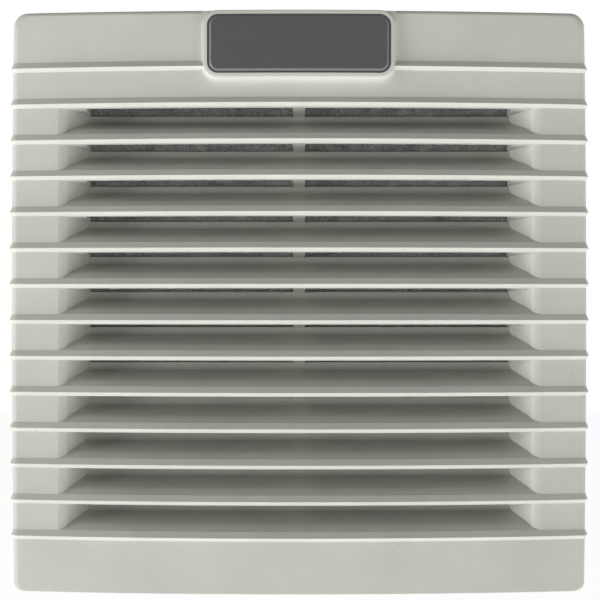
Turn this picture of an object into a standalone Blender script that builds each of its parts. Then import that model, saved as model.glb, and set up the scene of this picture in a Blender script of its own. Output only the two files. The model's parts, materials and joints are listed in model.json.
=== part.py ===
"""Cabinet filter fan: louvred hinged cover, filter mat, snap-in frame and axial fan.

All sizes are in metres. The origin is the centre of the panel cut-out, in the plane of the
door's outer face. The front faces -Y, and +Z is up.
"""
import math

import bmesh
import bpy
from mathutils import Matrix, Vector

# Fits and working allowances
FIT_GAP = 0.0003
BITE = 0.0005
CUT_OVER = 0.001
WELD = 0.000001
FLAT_ANGLE = math.radians(0.1)
ROUND_SEGMENTS = 32
SMALL_SEGMENTS = 12
CORNER_STEPS = 3

# Front cover, with depths counted back from the crown of the fins
COVER_HALF_WIDTH = 0.1007
COVER_EXTRA_HEIGHT = 0.0006
COVER_PROTRUSION = 0.024
COVER_WALL = 0.0022
SIDE_DRAFT = 0.0008
TOP_DRAFT = 0.0007
TOP_CORNER_RADIUS = 0.005
BOTTOM_CORNER_RADIUS = 0.0026
CROWN_RISE = 0.0064
CROWN_STATIONS = 5
SIDE_BOW = 0.001

# Fins and the rising blades behind them
FIN_COUNT = 14
FIN_MARGIN = 0.0194
FIN_DEPTH = 0.0015
FIN_OVERHANG = 0.0013
FIN_RISE = 0.0021
FIN_DROP = 0.0013
FIN_TAIL_RISE = 0.0008
FIRST_SLOT_FIN = 2
BLADE_DEPTH = 0.0175
BLADE_TOP_RISE = 0.0100
BLADE_BOTTOM_RISE = 0.0084
NOSE_DEPTH = 0.0032
CORE_TOP_MARGIN = 0.0010
CORE_BOTTOM_MARGIN = 0.0030

# Slot ends and centre rib
SLOT_FACE_MARGIN = 0.0183
SLOT_THROAT_MARGIN = 0.0262
SLOT_THROAT_DEPTH = 0.0132
SLOT_END_WALL = 0.0022
CENTRE_RIB_WIDTH = 0.004
CENTRE_RIB_SEAT = 0.0014

# Badge bezel and its plate
BADGE_WIDTH = 0.0628
BADGE_HEIGHT = 0.0201
BADGE_THICKNESS = 0.0012
BADGE_DROP = 0.0113
BADGE_CORNER_RADIUS = 0.0032
BADGE_SET_BACK = 0.0002
BEZEL_RIM = 0.0017
BEZEL_TOP_INSET = 0.0004
BEZEL_PROUD = 0.0003
BEZEL_FOOT = 0.0030

# Cover hinge and catches
HINGE_AHEAD = 0.0065
HINGE_INSET = 0.0045
HINGE_SIDE_MARGIN = 0.0387
HINGE_PIN_RADIUS = 0.0010
LUG_WIDTH = 0.008
LUG_RADIUS = 0.0024
EAR_THICKNESS = 0.003
EAR_REACH = 0.0026
CATCH_SIDE_MARGIN = 0.0407
CATCH_WIDTH = 0.010
CATCH_THICKNESS = 0.0018
CATCH_INSET = 0.0058
CATCH_FRAME_REACH = 0.0045
CATCH_PAD_START = 0.0055
CATCH_PAD_END = 0.0015

# Frame flange, seal, mat well and support grille
FLANGE_REAR = -0.0020
FLANGE_THICKNESS = 0.0025
FLANGE_SIDE_INSET = 0.0008
FLANGE_TOP_INSET = 0.0003
SEAL_INSET = 0.0014
SEAL_WIDTH = 0.0085
SEAL_CORNER_RADIUS = 0.004
MAT_THICKNESS = 0.0150
DUCT_INSET = 0.0127
DUCT_WALL = 0.0030
DUCT_CORNER_RADIUS = 0.006
GRILLE_DEPTH = 0.0030
GRILLE_WINDOWS = 5
GRILLE_RIB = 0.0024
GRILLE_LEDGE = 0.0010

# Duct, hopper and fan plate
DUCT_REAR = 0.0240
HOPPER_LENGTH = 0.0160
PLATE_MARGIN = 0.0020
PLATE_THICKNESS = 0.0030
PLATE_CORNER_RADIUS = 0.008
THROAT_MARGIN = 0.0005

# Spring clips on the four sides of the duct
CLIP_PIN_RADIUS = 0.0010
CLIP_THICKNESS = 0.0008
CLIP_WIDTH = 0.014
CLIP_ARM_LENGTH = 0.0180
CLIP_REST_ANGLE = math.radians(14)
CLIP_EYE_END = math.radians(290)
CLIP_EYE_STEPS = 10
CLIP_EYE_INSET = 0.0025
CLIP_EYE_Y = 0.0200
CLIP_RECESS_DEPTH = 0.0016
CLIP_RECESS_START = 0.0012
CLIP_POCKET_WALL = 0.0020
CLIP_SIDE_WALL = 0.0035
CLIP_PIN_ANCHOR = 0.0018
CLIP_SIDES = ("right", "top", "left", "bottom")

# Axial fan
FAN_HALF = 0.0595
FAN_DEPTH = 0.038
FAN_FLANGE = 0.0040
FAN_CORNER_RADIUS = 0.007
FAN_HOLE_INSET = 0.0071
BARREL_INSET = 0.0003
BARREL_WALL = 0.0022
STRUT_COUNT = 4
STRUT_WIDTH = 0.0036
STRUT_DEPTH = 0.0050
STRUT_TURN = math.radians(20)
HUB_DISC_RADIUS = 0.0300
HUB_DISC_THICKNESS = 0.0030
BEARING_TUBE_RADIUS = 0.0085
BEARING_TUBE_LENGTH = 0.0268

# Shaft and bearings
SHAFT_RADIUS = 0.0020
BEARING_RADIUS = 0.0060
BEARING_WIDTH = 0.0040
BEARING_GROOVE = 0.0004
SHAFT_RING_RADIUS = 0.0040
SHAFT_RING_THICKNESS = 0.0007
TUBE_FLOOR_TO_RING = 0.0004

# Motor
CUP_RADIUS = 0.0270
CUP_WALL = 0.0025
CUP_LENGTH = 0.0240
CUP_FRONT_WALL = 0.0022
CUP_BOSS_RADIUS = 0.0050
CUP_BOSS_LENGTH = 0.0018
CAGE_THICKNESS = 0.0030
CAGE_LENGTH = 0.0140
CORE_LENGTH = 0.0120
AIR_GAP = 0.0006
WINDING_LENGTH = 0.0034
WINDING_INNER_RADIUS = 0.0110
WINDING_OUTER_RADIUS = 0.0190
WINDING_LEG_WIDTH = 0.0045
WINDING_LEG_INNER = 0.0120
WINDING_LEG_OUTER = 0.0170
POLE_COUNT = 4

# Impeller
HUB_WALL = 0.0032
HUB_FRONT_WALL = 0.0022
HUB_LENGTH = 0.0265
HUB_EDGE_RADIUS = 0.0020
BLADE_COUNT = 7
BLADE_TIP_GAP = 0.0012
BLADE_AXIAL_LENGTH = 0.0220
BLADE_SWEEP = math.radians(40)
BLADE_LEAN = math.radians(-14)
BLADE_CAMBER = math.radians(5)
BLADE_THICKNESS = 0.0016
BLADE_CHORD_STEPS = 5
BLADE_SPAN_STEPS = 3

# Finger guard
GUARD_WIRE_RADIUS = 0.0008
GUARD_RING_COUNT = 5
GUARD_INNER_RADIUS = 0.0160
GUARD_EYE_RADIUS = 0.0034
GUARD_WELD_OVERLAP = 0.0004
GUARD_RING_SEGMENTS = 24
GUARD_WIRE_SEGMENTS = 5

# Fan screws
SCREW_RADIUS = 0.0020
SCREW_HEAD_RADIUS = 0.0038
SCREW_HEAD_HEIGHT = 0.0026
SCREW_CROWN_RADIUS = 0.0027
SCREW_LENGTH = 0.0500
SCREW_BOSS_RADIUS = 0.0044
SCREW_BOSS_LENGTH = 0.0080

# Terminal block
TERMINAL_POLES = 3
TERMINAL_PITCH = 0.0095
TERMINAL_WIDTH = 0.0140
TERMINAL_HEIGHT = 0.0140
TERMINAL_LENGTH = 0.0290
TERMINAL_OFFSET = 0.0150
TERMINAL_EDGE = 0.0006
TERMINAL_ENTRY_RADIUS = 0.0018
TERMINAL_ENTRY_HEIGHT = 0.0045
TERMINAL_WELL_RADIUS = 0.0025
TERMINAL_WELL_DEPTH = 0.0058
TERMINAL_SCREW_RADIUS = 0.0013
TERMINAL_HEAD_RADIUS = 0.0021
TERMINAL_HEAD_HEIGHT = 0.0016
TERMINAL_SCREW_LENGTH = 0.0060
PAD_MARGIN = 0.0015
PAD_DEPTH = 0.0110
PAD_SET_BACK = 0.0020

# Places that follow from the sizes above
COVER_HALF_HEIGHT = COVER_HALF_WIDTH + COVER_EXTRA_HEIGHT
CROWN_HALF_SPAN = COVER_HALF_WIDTH + FIN_OVERHANG
CROWN_STATION_PITCH = CROWN_HALF_SPAN / (CROWN_STATIONS + 1)
FRONT_FACE_Y = FIN_DEPTH - COVER_PROTRUSION
FLANGE_FRONT = FLANGE_REAR - FLANGE_THICKNESS
FLANGE_HALF_WIDTH = COVER_HALF_WIDTH - FLANGE_SIDE_INSET
FLANGE_HALF_HEIGHT = COVER_HALF_HEIGHT - FLANGE_TOP_INSET
SEAL_OUTER_HALF = FLANGE_HALF_WIDTH - SEAL_INSET
COVER_RIM_Y = FLANGE_FRONT - FIT_GAP
TOP_FIN_Z = COVER_HALF_HEIGHT - FIN_MARGIN
FIN_PITCH = 2 * TOP_FIN_Z / (FIN_COUNT - 1)
SLOT_FACE_HALF = COVER_HALF_WIDTH - SLOT_FACE_MARGIN
SLOT_THROAT_HALF = COVER_HALF_WIDTH - SLOT_THROAT_MARGIN
BADGE_CENTRE_Z = COVER_HALF_HEIGHT - BADGE_DROP
HINGE_Y = FLANGE_FRONT - HINGE_AHEAD
HINGE_Z = HINGE_INSET - COVER_HALF_HEIGHT
HINGE_OFFSET_X = COVER_HALF_WIDTH - HINGE_SIDE_MARGIN
CATCH_OFFSET_X = COVER_HALF_WIDTH - CATCH_SIDE_MARGIN
CATCH_Z = COVER_HALF_HEIGHT - CATCH_INSET
DUCT_OUTER_HALF = COVER_HALF_WIDTH - DUCT_INSET
CLIP_EYE_X = DUCT_OUTER_HALF - CLIP_EYE_INSET
TERMINAL_CENTRE_X = FAN_HALF + TERMINAL_OFFSET
BARREL_RADIUS = FAN_HALF - BARREL_INSET
BORE_RADIUS = BARREL_RADIUS - BARREL_WALL
FAN_HOLE_OFFSET = FAN_HALF - FAN_HOLE_INSET
PLATE_HALF = FAN_HALF + PLATE_MARGIN
THROAT_RADIUS = BORE_RADIUS + THROAT_MARGIN
MAT_FRONT = BLADE_DEPTH - COVER_PROTRUSION + FIT_GAP
MAT_REAR = MAT_FRONT + MAT_THICKNESS
GRILLE_FRONT = MAT_REAR + FIT_GAP
GRILLE_REAR = GRILLE_FRONT + GRILLE_DEPTH
LEDGE_Y = GRILLE_REAR + FIT_GAP
DUCT_INNER_HALF = DUCT_OUTER_HALF - DUCT_WALL
PLENUM_HALF = DUCT_INNER_HALF - GRILLE_LEDGE
PLATE_FRONT = DUCT_REAR + HOPPER_LENGTH
PLATE_REAR = PLATE_FRONT + PLATE_THICKNESS
FAN_FRONT = PLATE_REAR + FIT_GAP
FAN_REAR = FAN_FRONT + FAN_DEPTH
SPOKE_Y = FAN_REAR + FIT_GAP + GUARD_WIRE_RADIUS
RING_Y = SPOKE_Y + 2 * GUARD_WIRE_RADIUS - GUARD_WELD_OVERLAP
TUBE_FLOOR_Y = FAN_REAR - STRUT_DEPTH
TUBE_FRONT_Y = FAN_REAR - BEARING_TUBE_LENGTH
SHAFT_HOLE_RADIUS = SHAFT_RADIUS + FIT_GAP
SHAFT_REAR_Y = TUBE_FLOOR_Y - FIT_GAP
SHAFT_RING_REAR_Y = SHAFT_REAR_Y - TUBE_FLOOR_TO_RING
REAR_BEARING_Y = SHAFT_RING_REAR_Y - SHAFT_RING_THICKNESS - FIT_GAP - BEARING_WIDTH
FRONT_BEARING_Y = TUBE_FRONT_Y + BITE
CUP_FRONT_Y = TUBE_FRONT_Y - FIT_GAP - CUP_BOSS_LENGTH - CUP_FRONT_WALL
CUP_REAR_Y = CUP_FRONT_Y + CUP_LENGTH
CUP_INNER_RADIUS = CUP_RADIUS - CUP_WALL
CAGE_OUTER_RADIUS = CUP_INNER_RADIUS - FIT_GAP
CAGE_INNER_RADIUS = CAGE_OUTER_RADIUS - CAGE_THICKNESS
CAGE_REAR_Y = CUP_REAR_Y - CUP_WALL / 2
CORE_RADIUS = CAGE_INNER_RADIUS - AIR_GAP
CORE_CENTRE_Y = CAGE_REAR_Y - CAGE_LENGTH / 2
HUB_INNER_RADIUS = CUP_RADIUS + FIT_GAP
HUB_RADIUS = HUB_INNER_RADIUS + HUB_WALL
HUB_FRONT_Y = CUP_FRONT_Y - FIT_GAP - HUB_FRONT_WALL
SLOPE_TOP = (BLADE_TOP_RISE - FIN_RISE) / (BLADE_DEPTH - FIN_DEPTH)
SLOPE_BOTTOM = (BLADE_BOTTOM_RISE + FIN_DROP) / (BLADE_DEPTH - NOSE_DEPTH)

# How an outline's own axes and its thickness lie in the world, by the axis it is extruded along
AXIS_FRAMES = {
    "X": Matrix(((0, 0, 1, 0), (1, 0, 0, 0), (0, 1, 0, 0), (0, 0, 0, 1))),
    "Y": Matrix(((1, 0, 0, 0), (0, 0, 1, 0), (0, 1, 0, 0), (0, 0, 0, 1))),
    "Z": Matrix.Identity(4),
}


# Scene and object helpers
def clear_scene():
    """Remove whatever the file opened with."""
    for item in list(bpy.data.objects):
        bpy.data.objects.remove(item, do_unlink=True)


def new_collection(name):
    """A collection linked to the scene."""
    collection = bpy.data.collections.new(name)
    bpy.context.scene.collection.children.link(collection)
    return collection


def move_to(item, collection):
    """Take an object out of its collections and put it in one."""
    for holder in list(item.users_collection):
        holder.objects.unlink(item)
    collection.objects.link(item)


def mesh_object(name, bm):
    """An object from a bmesh, with its faces turned outward."""
    bmesh.ops.recalc_face_normals(bm, faces=bm.faces)
    mesh = bpy.data.meshes.new(name)
    bm.to_mesh(mesh)
    bm.free()
    item = bpy.data.objects.new(name, mesh)
    bpy.context.scene.collection.objects.link(item)
    return item


def welded(mesh):
    """Weld a mesh's doubles and turn its faces outward."""
    bm = bmesh.new()
    bm.from_mesh(mesh)
    bmesh.ops.remove_doubles(bm, verts=bm.verts, dist=WELD)
    bmesh.ops.dissolve_degenerate(bm, edges=bm.edges, dist=WELD)
    bmesh.ops.recalc_face_normals(bm, faces=bm.faces)
    bm.to_mesh(mesh)
    bm.free()
    return mesh


def as_mesh(item):
    """Turn a curve, or a mesh with modifiers, into a plain mesh object in the same place."""
    bpy.context.view_layer.update()
    depsgraph = bpy.context.evaluated_depsgraph_get()
    mesh = bpy.data.meshes.new_from_object(item.evaluated_get(depsgraph))
    name = item.name
    place = item.matrix_world.copy()
    bpy.data.objects.remove(item, do_unlink=True)
    solid = bpy.data.objects.new(name, welded(mesh))
    solid.matrix_world = place
    bpy.context.scene.collection.objects.link(solid)
    return solid


def joined(name, items):
    """One object that holds several separate shapes, each moved to its place in the world."""
    bm = bmesh.new()
    for item in items:
        item.data.transform(item.matrix_basis)
        bm.from_mesh(item.data)
        bpy.data.objects.remove(item, do_unlink=True)
    return mesh_object(name, bm)


def combine(item, tool, operation):
    """Cut, join or intersect an object with a tool, which is kept as a hidden guide."""
    move_to(tool, CUTTERS)
    tool.hide_render = True
    tool.display_type = "WIRE"
    modifier = item.modifiers.new(tool.name, "BOOLEAN")
    modifier.operation = operation
    modifier.solver = "EXACT"
    modifier.object = tool
    return item


def cut(item, tool):
    """Take a tool's shape away."""
    return combine(item, tool, "DIFFERENCE")


def join(item, tool):
    """Add a tool's shape."""
    return combine(item, tool, "UNION")


def set_origin(item, point):
    """Put an object's origin at a point, with its shape left in place."""
    item.data.transform(Matrix.Translation(-Vector(point)))
    item.location = point
    return item


def finish(item, material, smooth=False):
    """Keep an object as a sub-part with its own material."""
    move_to(item, PARTS)
    item.data.materials.clear()
    item.data.materials.append(material)
    if smooth:
        item.data.shade_smooth()
        item.data.set_sharp_from_angle(angle=math.radians(35))
    return item


# Shapes
def box(name, low, high):
    """A box between two corners."""
    bm = bmesh.new()
    bmesh.ops.create_cube(bm, size=1)
    bmesh.ops.scale(bm, vec=Vector(high) - Vector(low), verts=bm.verts)
    bmesh.ops.translate(bm, vec=(Vector(high) + Vector(low)) / 2, verts=bm.verts)
    return mesh_object(name, bm)


def cylinder(name, centre, radius, low, high, axis, segments=SMALL_SEGMENTS):
    """A cylinder along an axis, centred on two coordinates across it."""
    bm = bmesh.new()
    bmesh.ops.create_cone(
        bm, cap_ends=True, segments=segments, radius1=radius, radius2=radius, depth=high - low
    )
    place = Matrix.Translation((centre[0], centre[1], (low + high) / 2))
    bmesh.ops.transform(bm, matrix=AXIS_FRAMES[axis] @ place, verts=bm.verts)
    return mesh_object(name, bm)


def extruded_outline(name, outline, low, high, axis):
    """A flat outline given its thickness along an axis."""
    curve = bpy.data.curves.new(name, "CURVE")
    curve.dimensions = "2D"
    curve.fill_mode = "BOTH"
    curve.extrude = (high - low) / 2
    spline = curve.splines.new("POLY")
    spline.points.add(len(outline) - 1)
    for point, (across, up) in zip(spline.points, outline):
        point.co = (across, up, 0, 1)
    spline.use_cyclic_u = True
    item = bpy.data.objects.new(name, curve)
    bpy.context.scene.collection.objects.link(item)
    solid = as_mesh(item)
    place = Matrix.Translation((0, 0, (low + high) / 2))
    solid.data.transform(AXIS_FRAMES[axis] @ place)
    welded(solid.data)
    return solid


def turned(name, profile, segments=ROUND_SEGMENTS):
    """A profile of radii and places along Y, turned about the fan's axis.

    A profile that starts and ends on the axis gives a solid. Any other is closed into a ring.
    """
    mesh = bpy.data.meshes.new(name)
    points = [(radius, 0, place) for radius, place in profile]
    edges = [(index, index + 1) for index in range(len(points) - 1)]
    if profile[0][0] > 0:
        edges.append((len(points) - 1, 0))
    mesh.from_pydata(points, edges, [])
    item = bpy.data.objects.new(name, mesh)
    bpy.context.scene.collection.objects.link(item)
    screw = item.modifiers.new("turn", "SCREW")
    screw.axis = "Z"
    screw.steps = segments
    screw.render_steps = segments
    screw.use_merge_vertices = True
    screw.merge_threshold = WELD
    solid = as_mesh(item)
    solid.data.transform(AXIS_FRAMES["Y"])
    welded(solid.data)
    return solid


def loft(name, rings):
    """A closed solid through rings of equal point count, with flat ends."""
    bm = bmesh.new()
    loops = [[bm.verts.new(point) for point in ring] for ring in rings]
    for near, far in zip(loops, loops[1:]):
        for index, corner in enumerate(near):
            after = (index + 1) % len(near)
            bm.faces.new((corner, near[after], far[after], far[index]))
    bm.faces.new(loops[0])
    bm.faces.new(loops[-1])
    return mesh_object(name, bm)


def rounded_outline(half_width, half_height, top_radius, bottom_radius):
    """The points of a rectangle with rounded corners, about its centre."""
    corners = (
        (1, 1, top_radius, 0),
        (-1, 1, top_radius, 90),
        (-1, -1, bottom_radius, 180),
        (1, -1, bottom_radius, 270),
    )
    points = []
    for side, level, radius, start in corners:
        centre_x = side * (half_width - radius)
        centre_z = level * (half_height - radius)
        for step in range(CORNER_STEPS + 1):
            angle = math.radians(start + 90 * step / CORNER_STEPS)
            across = centre_x + radius * math.cos(angle)
            up = centre_z + radius * math.sin(angle)
            points.append((across, up))
    return points


def square_outline(half, radius):
    """A square with four equal rounded corners."""
    return rounded_outline(half, half, radius, radius)


def ring_at(outline, place):
    """An outline's points in a plane across Y."""
    return [(across, place, up) for across, up in outline]


def four_corners(offset):
    """The places of the fan's four fixing holes."""
    return [(side * offset, level * offset) for side in (1, -1) for level in (1, -1)]


# Materials
def material(name, colour, roughness, metallic=0.0):
    """A plain surface of one colour."""
    surface = bpy.data.materials.new(name)
    surface.use_nodes = True
    shader = surface.node_tree.nodes["Principled BSDF"]
    shader.inputs["Base Color"].default_value = (*colour, 1)
    shader.inputs["Roughness"].default_value = roughness
    shader.inputs["Metallic"].default_value = metallic
    return surface


# Front cover
def fin_level(index):
    """The height of a fin's front edge, counted from the top fin."""
    return TOP_FIN_Z - index * FIN_PITCH


def at_depth(depth):
    """The place along Y of a depth behind the crown."""
    return depth - COVER_PROTRUSION


def cover_half_height(place):
    """Half the cover's height where its walls pass a place along Y."""
    share = (place - FRONT_FACE_Y) / (COVER_RIM_Y - FRONT_FACE_Y)
    return COVER_HALF_HEIGHT + TOP_DRAFT * share


def cover_solid(name, inset, front, rear):
    """The cover's drafted outer form, or with an inset its hollow."""
    rings = []
    for place in (rear, front):
        share = (place - FRONT_FACE_Y) / (COVER_RIM_Y - FRONT_FACE_Y)
        half_width = COVER_HALF_WIDTH + SIDE_DRAFT * share - inset
        half_height = COVER_HALF_HEIGHT + TOP_DRAFT * share - inset
        outline = rounded_outline(
            half_width, half_height, TOP_CORNER_RADIUS - inset, BOTTOM_CORNER_RADIUS - inset
        )
        rings.append(ring_at(outline, place))
    return loft(name, rings)


def fin(index):
    """One fin: a ridge across the front, mitred at the corners and carried back along the sides."""
    level = fin_level(index)
    section = (
        (0, FIN_RISE),
        (FIN_DEPTH, 0),
        (0, -FIN_DROP),
        (-BITE, -FIN_DROP + BITE / 2),
        (-BITE, FIN_RISE - BITE / 2),
    )
    side_scale = FIN_OVERHANG / FIN_DEPTH
    tail_y = COVER_RIM_Y - BITE
    rings = []
    for side, place, lift in ((-1, "tail", FIN_TAIL_RISE), (-1, "front", 0), (1, "front", 0),
                              (1, "tail", FIN_TAIL_RISE)):
        ring = []
        for proud, height in section:
            across = side * (COVER_HALF_WIDTH + proud * side_scale)
            along = tail_y if place == "tail" else FRONT_FACE_Y - proud
            ring.append((across, along, level + height + lift))
        rings.append(ring)
    return loft(f"fin_{index}", rings)


def core_block():
    """The block behind the front wall that the slots are cut from, with slanted ends."""
    face_half = SLOT_FACE_HALF + SLOT_END_WALL
    throat_half = SLOT_THROAT_HALF + SLOT_END_WALL
    front = at_depth(FIN_DEPTH) + BITE
    throat = at_depth(SLOT_THROAT_DEPTH)
    rear = at_depth(BLADE_DEPTH)
    outline = [
        (face_half, front),
        (throat_half, throat),
        (throat_half, rear),
        (-throat_half, rear),
        (-throat_half, throat),
        (-face_half, front),
    ]
    low = fin_level(FIN_COUNT - 1) - CORE_BOTTOM_MARGIN
    high = fin_level(FIRST_SLOT_FIN - 1) + CORE_TOP_MARGIN
    return extruded_outline("blade_core", outline, low, high, "Z")


def slot_fins():
    """The fins that have a slot above them."""
    return range(FIRST_SLOT_FIN, FIN_COUNT)


def slot_passages():
    """The rising passages between neighbouring blades, between the throats of the slots."""
    past = BLADE_DEPTH + CUT_OVER
    outline = [
        (at_depth(FIN_DEPTH - CUT_OVER), FIN_RISE),
        (at_depth(FIN_DEPTH), FIN_RISE),
        (at_depth(past), FIN_RISE + SLOPE_TOP * (past - FIN_DEPTH)),
        (at_depth(past), FIN_PITCH - FIN_DROP + SLOPE_BOTTOM * (past - NOSE_DEPTH)),
        (at_depth(NOSE_DEPTH), FIN_PITCH - FIN_DROP),
        (at_depth(FIN_DEPTH - CUT_OVER), FIN_PITCH - FIN_DROP),
    ]
    passages = []
    for index in slot_fins():
        level = fin_level(index)
        points = [(along, up + level) for along, up in outline]
        half = SLOT_THROAT_HALF
        passages.append(extruded_outline(f"passage_{index}", points, -half, half, "X"))
    return joined("slot_passages", passages)


def slot_mouths():
    """The wide mouths of the slots, which have a level ceiling and slanted ends."""
    past = BLADE_DEPTH + CUT_OVER
    outline = [
        (at_depth(FIN_DEPTH - CUT_OVER), FIN_RISE),
        (at_depth(FIN_DEPTH), FIN_RISE),
        (at_depth(past), FIN_RISE + SLOPE_TOP * (past - FIN_DEPTH)),
        (at_depth(past), FIN_PITCH - FIN_DROP),
        (at_depth(FIN_DEPTH - CUT_OVER), FIN_PITCH - FIN_DROP),
    ]
    mouths = []
    for index in slot_fins():
        level = fin_level(index)
        points = [(along, up + level) for along, up in outline]
        half = SLOT_FACE_HALF + CUT_OVER
        mouths.append(extruded_outline(f"mouth_{index}", points, -half, half, "X"))
    plan = [
        (SLOT_FACE_HALF, at_depth(-CUT_OVER)),
        (SLOT_FACE_HALF, at_depth(FIN_DEPTH)),
        (SLOT_THROAT_HALF, at_depth(SLOT_THROAT_DEPTH)),
        (SLOT_THROAT_HALF, at_depth(past + CUT_OVER)),
        (-SLOT_THROAT_HALF, at_depth(past + CUT_OVER)),
        (-SLOT_THROAT_HALF, at_depth(SLOT_THROAT_DEPTH)),
        (-SLOT_FACE_HALF, at_depth(FIN_DEPTH)),
        (-SLOT_FACE_HALF, at_depth(-CUT_OVER)),
    ]
    reach = COVER_HALF_HEIGHT + CUT_OVER
    ends = extruded_outline("slot_ends", plan, -reach, reach, "Z")
    return as_mesh(combine(joined("slot_mouths", mouths), ends, "INTERSECT"))


def lowest_blade_relief():
    """The room under the lowest blade, behind the front wall."""
    level = fin_level(FIN_COUNT - 1)
    start = FIN_DEPTH + COVER_WALL
    past = BLADE_DEPTH + CUT_OVER
    low = level - CORE_BOTTOM_MARGIN - CUT_OVER
    outline = [
        (at_depth(start), low),
        (at_depth(past), low),
        (at_depth(past), level - FIN_DROP + SLOPE_BOTTOM * (past - NOSE_DEPTH)),
        (at_depth(start), level - FIN_DROP + SLOPE_BOTTOM * (start - NOSE_DEPTH)),
    ]
    half = SLOT_FACE_HALF + SLOT_END_WALL + CUT_OVER
    return extruded_outline("lowest_blade_relief", outline, -half, half, "X")


def centre_rib():
    """The webs on the centre line, each from a blade's nose back to the rear of the blade below."""
    rear = BLADE_DEPTH - BITE
    seat = BLADE_DEPTH - CENTRE_RIB_SEAT
    outline = [
        (at_depth(NOSE_DEPTH - BITE), FIN_PITCH - FIN_DROP + BITE),
        (at_depth(seat), FIN_RISE + SLOPE_TOP * (seat - FIN_DEPTH) - BITE),
        (at_depth(rear), FIN_RISE + SLOPE_TOP * (rear - FIN_DEPTH) - BITE),
        (at_depth(rear), FIN_PITCH - FIN_DROP + SLOPE_BOTTOM * (rear - NOSE_DEPTH) + BITE),
    ]
    half = CENTRE_RIB_WIDTH / 2
    webs = []
    for index in slot_fins():
        level = fin_level(index)
        points = [(along, up + level) for along, up in outline]
        webs.append(extruded_outline(f"web_{index}", points, -half, half, "X"))
    return as_mesh(combine(joined("centre_rib", webs), core_block(), "INTERSECT"))


def badge_bezel():
    """The raised panel round the badge, flush with the top edge and sloped at its foot."""
    half = BADGE_WIDTH / 2 + FIT_GAP + BEZEL_RIM
    face = at_depth(-BEZEL_PROUD)
    foot = BADGE_CENTRE_Z - BADGE_HEIGHT / 2 - FIT_GAP - BEZEL_TOP_INSET
    top = COVER_HALF_HEIGHT - BEZEL_TOP_INSET
    outline = [
        (face, foot),
        (at_depth(FIN_DEPTH), foot - BEZEL_FOOT),
        (at_depth(FIN_DEPTH) + BITE, foot - BEZEL_FOOT),
        (at_depth(FIN_DEPTH) + BITE, top),
        (face, top),
    ]
    return extruded_outline("badge_bezel", outline, -half, half, "X")


def badge_shape(name, grow, front, rear):
    """The badge's rounded outline, grown by a clearance, between two places along Y."""
    outline = rounded_outline(
        BADGE_WIDTH / 2 + grow,
        BADGE_HEIGHT / 2 + grow,
        BADGE_CORNER_RADIUS + grow,
        BADGE_CORNER_RADIUS + grow,
    )
    raised = [(across, up + BADGE_CENTRE_Z) for across, up in outline]
    return extruded_outline(name, raised, front, rear, "Y")


def badge_face():
    """The place along Y of the badge's front."""
    return at_depth(BADGE_SET_BACK - BEZEL_PROUD)


def crown(item):
    """Crown a flat front in plan, and bow its sides a little, with straight facets between stations."""
    bm = bmesh.new()
    bm.from_mesh(item.data)
    bmesh.ops.dissolve_limit(bm, angle_limit=FLAT_ANGLE, verts=bm.verts, edges=bm.edges)
    for station in range(-CROWN_STATIONS, CROWN_STATIONS + 1):
        across = station * CROWN_STATION_PITCH
        everything = bm.verts[:] + bm.edges[:] + bm.faces[:]
        bmesh.ops.bisect_plane(bm, geom=everything, plane_co=(across, 0, 0), plane_no=(1, 0, 0))
    bmesh.ops.triangulate(bm, faces=bm.faces)
    side_start = SLOT_FACE_HALF + SLOT_END_WALL
    for vert in bm.verts:
        across, along, up = vert.co
        depth_share = 1 - (along + COVER_PROTRUSION) / BLADE_DEPTH
        side_share = (abs(across) - side_start) / (COVER_HALF_WIDTH - side_start)
        vert.co.y += CROWN_RISE * (across / CROWN_HALF_SPAN) ** 2 * max(depth_share, 0)
        bow = SIDE_BOW * (up / COVER_HALF_HEIGHT) ** 2 * max(side_share, 0)
        vert.co.x -= math.copysign(bow, across)
    bm.to_mesh(item.data)
    bm.free()
    welded(item.data)
    return item


def hinge_places():
    """The places across the cover of its two hinges."""
    return (-HINGE_OFFSET_X, HINGE_OFFSET_X)


def ear_half():
    """Half the width of a hinge's pair of ears."""
    return LUG_WIDTH / 2 + FIT_GAP + EAR_THICKNESS


def hinge_ears():
    """The blocks inside the lower wall that become the hinge's ears."""
    foot = -cover_half_height(HINGE_Y) + COVER_WALL / 2
    blocks = []
    for place in hinge_places():
        low = (place - ear_half(), HINGE_Y - EAR_REACH, foot)
        high = (place + ear_half(), HINGE_Y + EAR_REACH, HINGE_Z + EAR_REACH)
        blocks.append(box("hinge_ear", low, high))
    return blocks


def catch_pads():
    """The pads inside the upper wall that rest over the frame's catches."""
    start = FLANGE_FRONT - CATCH_PAD_START
    end = FLANGE_FRONT - CATCH_PAD_END
    low_z = CATCH_Z + CATCH_THICKNESS / 2 + FIT_GAP
    top = cover_half_height(end) - COVER_WALL / 2
    pads = []
    for place in (-CATCH_OFFSET_X, CATCH_OFFSET_X):
        low = (place - CATCH_WIDTH / 2, start, low_z)
        high = (place + CATCH_WIDTH / 2, end, top)
        pads.append(box("catch_pad", low, high))
    return pads


def lug_notches():
    """The notches that let the frame's lugs stand between the ears at any angle of the cover."""
    half = LUG_WIDTH / 2 + FIT_GAP
    reach = EAR_REACH + FIT_GAP
    low_z = -cover_half_height(COVER_RIM_Y) - CUT_OVER
    notches = []
    for place in hinge_places():
        low = (place - half, HINGE_Y - reach, low_z)
        high = (place + half, COVER_RIM_Y + CUT_OVER, HINGE_Z + EAR_REACH + CUT_OVER)
        notches.append(box("lug_notch", low, high))
    return joined("lug_notches", notches)


def hinge_bores(name, half_length, extra):
    """Bores on the hinge's axis, of the pin's size plus a clearance."""
    bores = []
    for place in hinge_places():
        centre = (HINGE_Y, HINGE_Z)
        radius = HINGE_PIN_RADIUS + extra
        bores.append(
            cylinder(name, centre, radius, place - half_length, place + half_length, "X")
        )
    return joined(name, bores)


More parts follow.
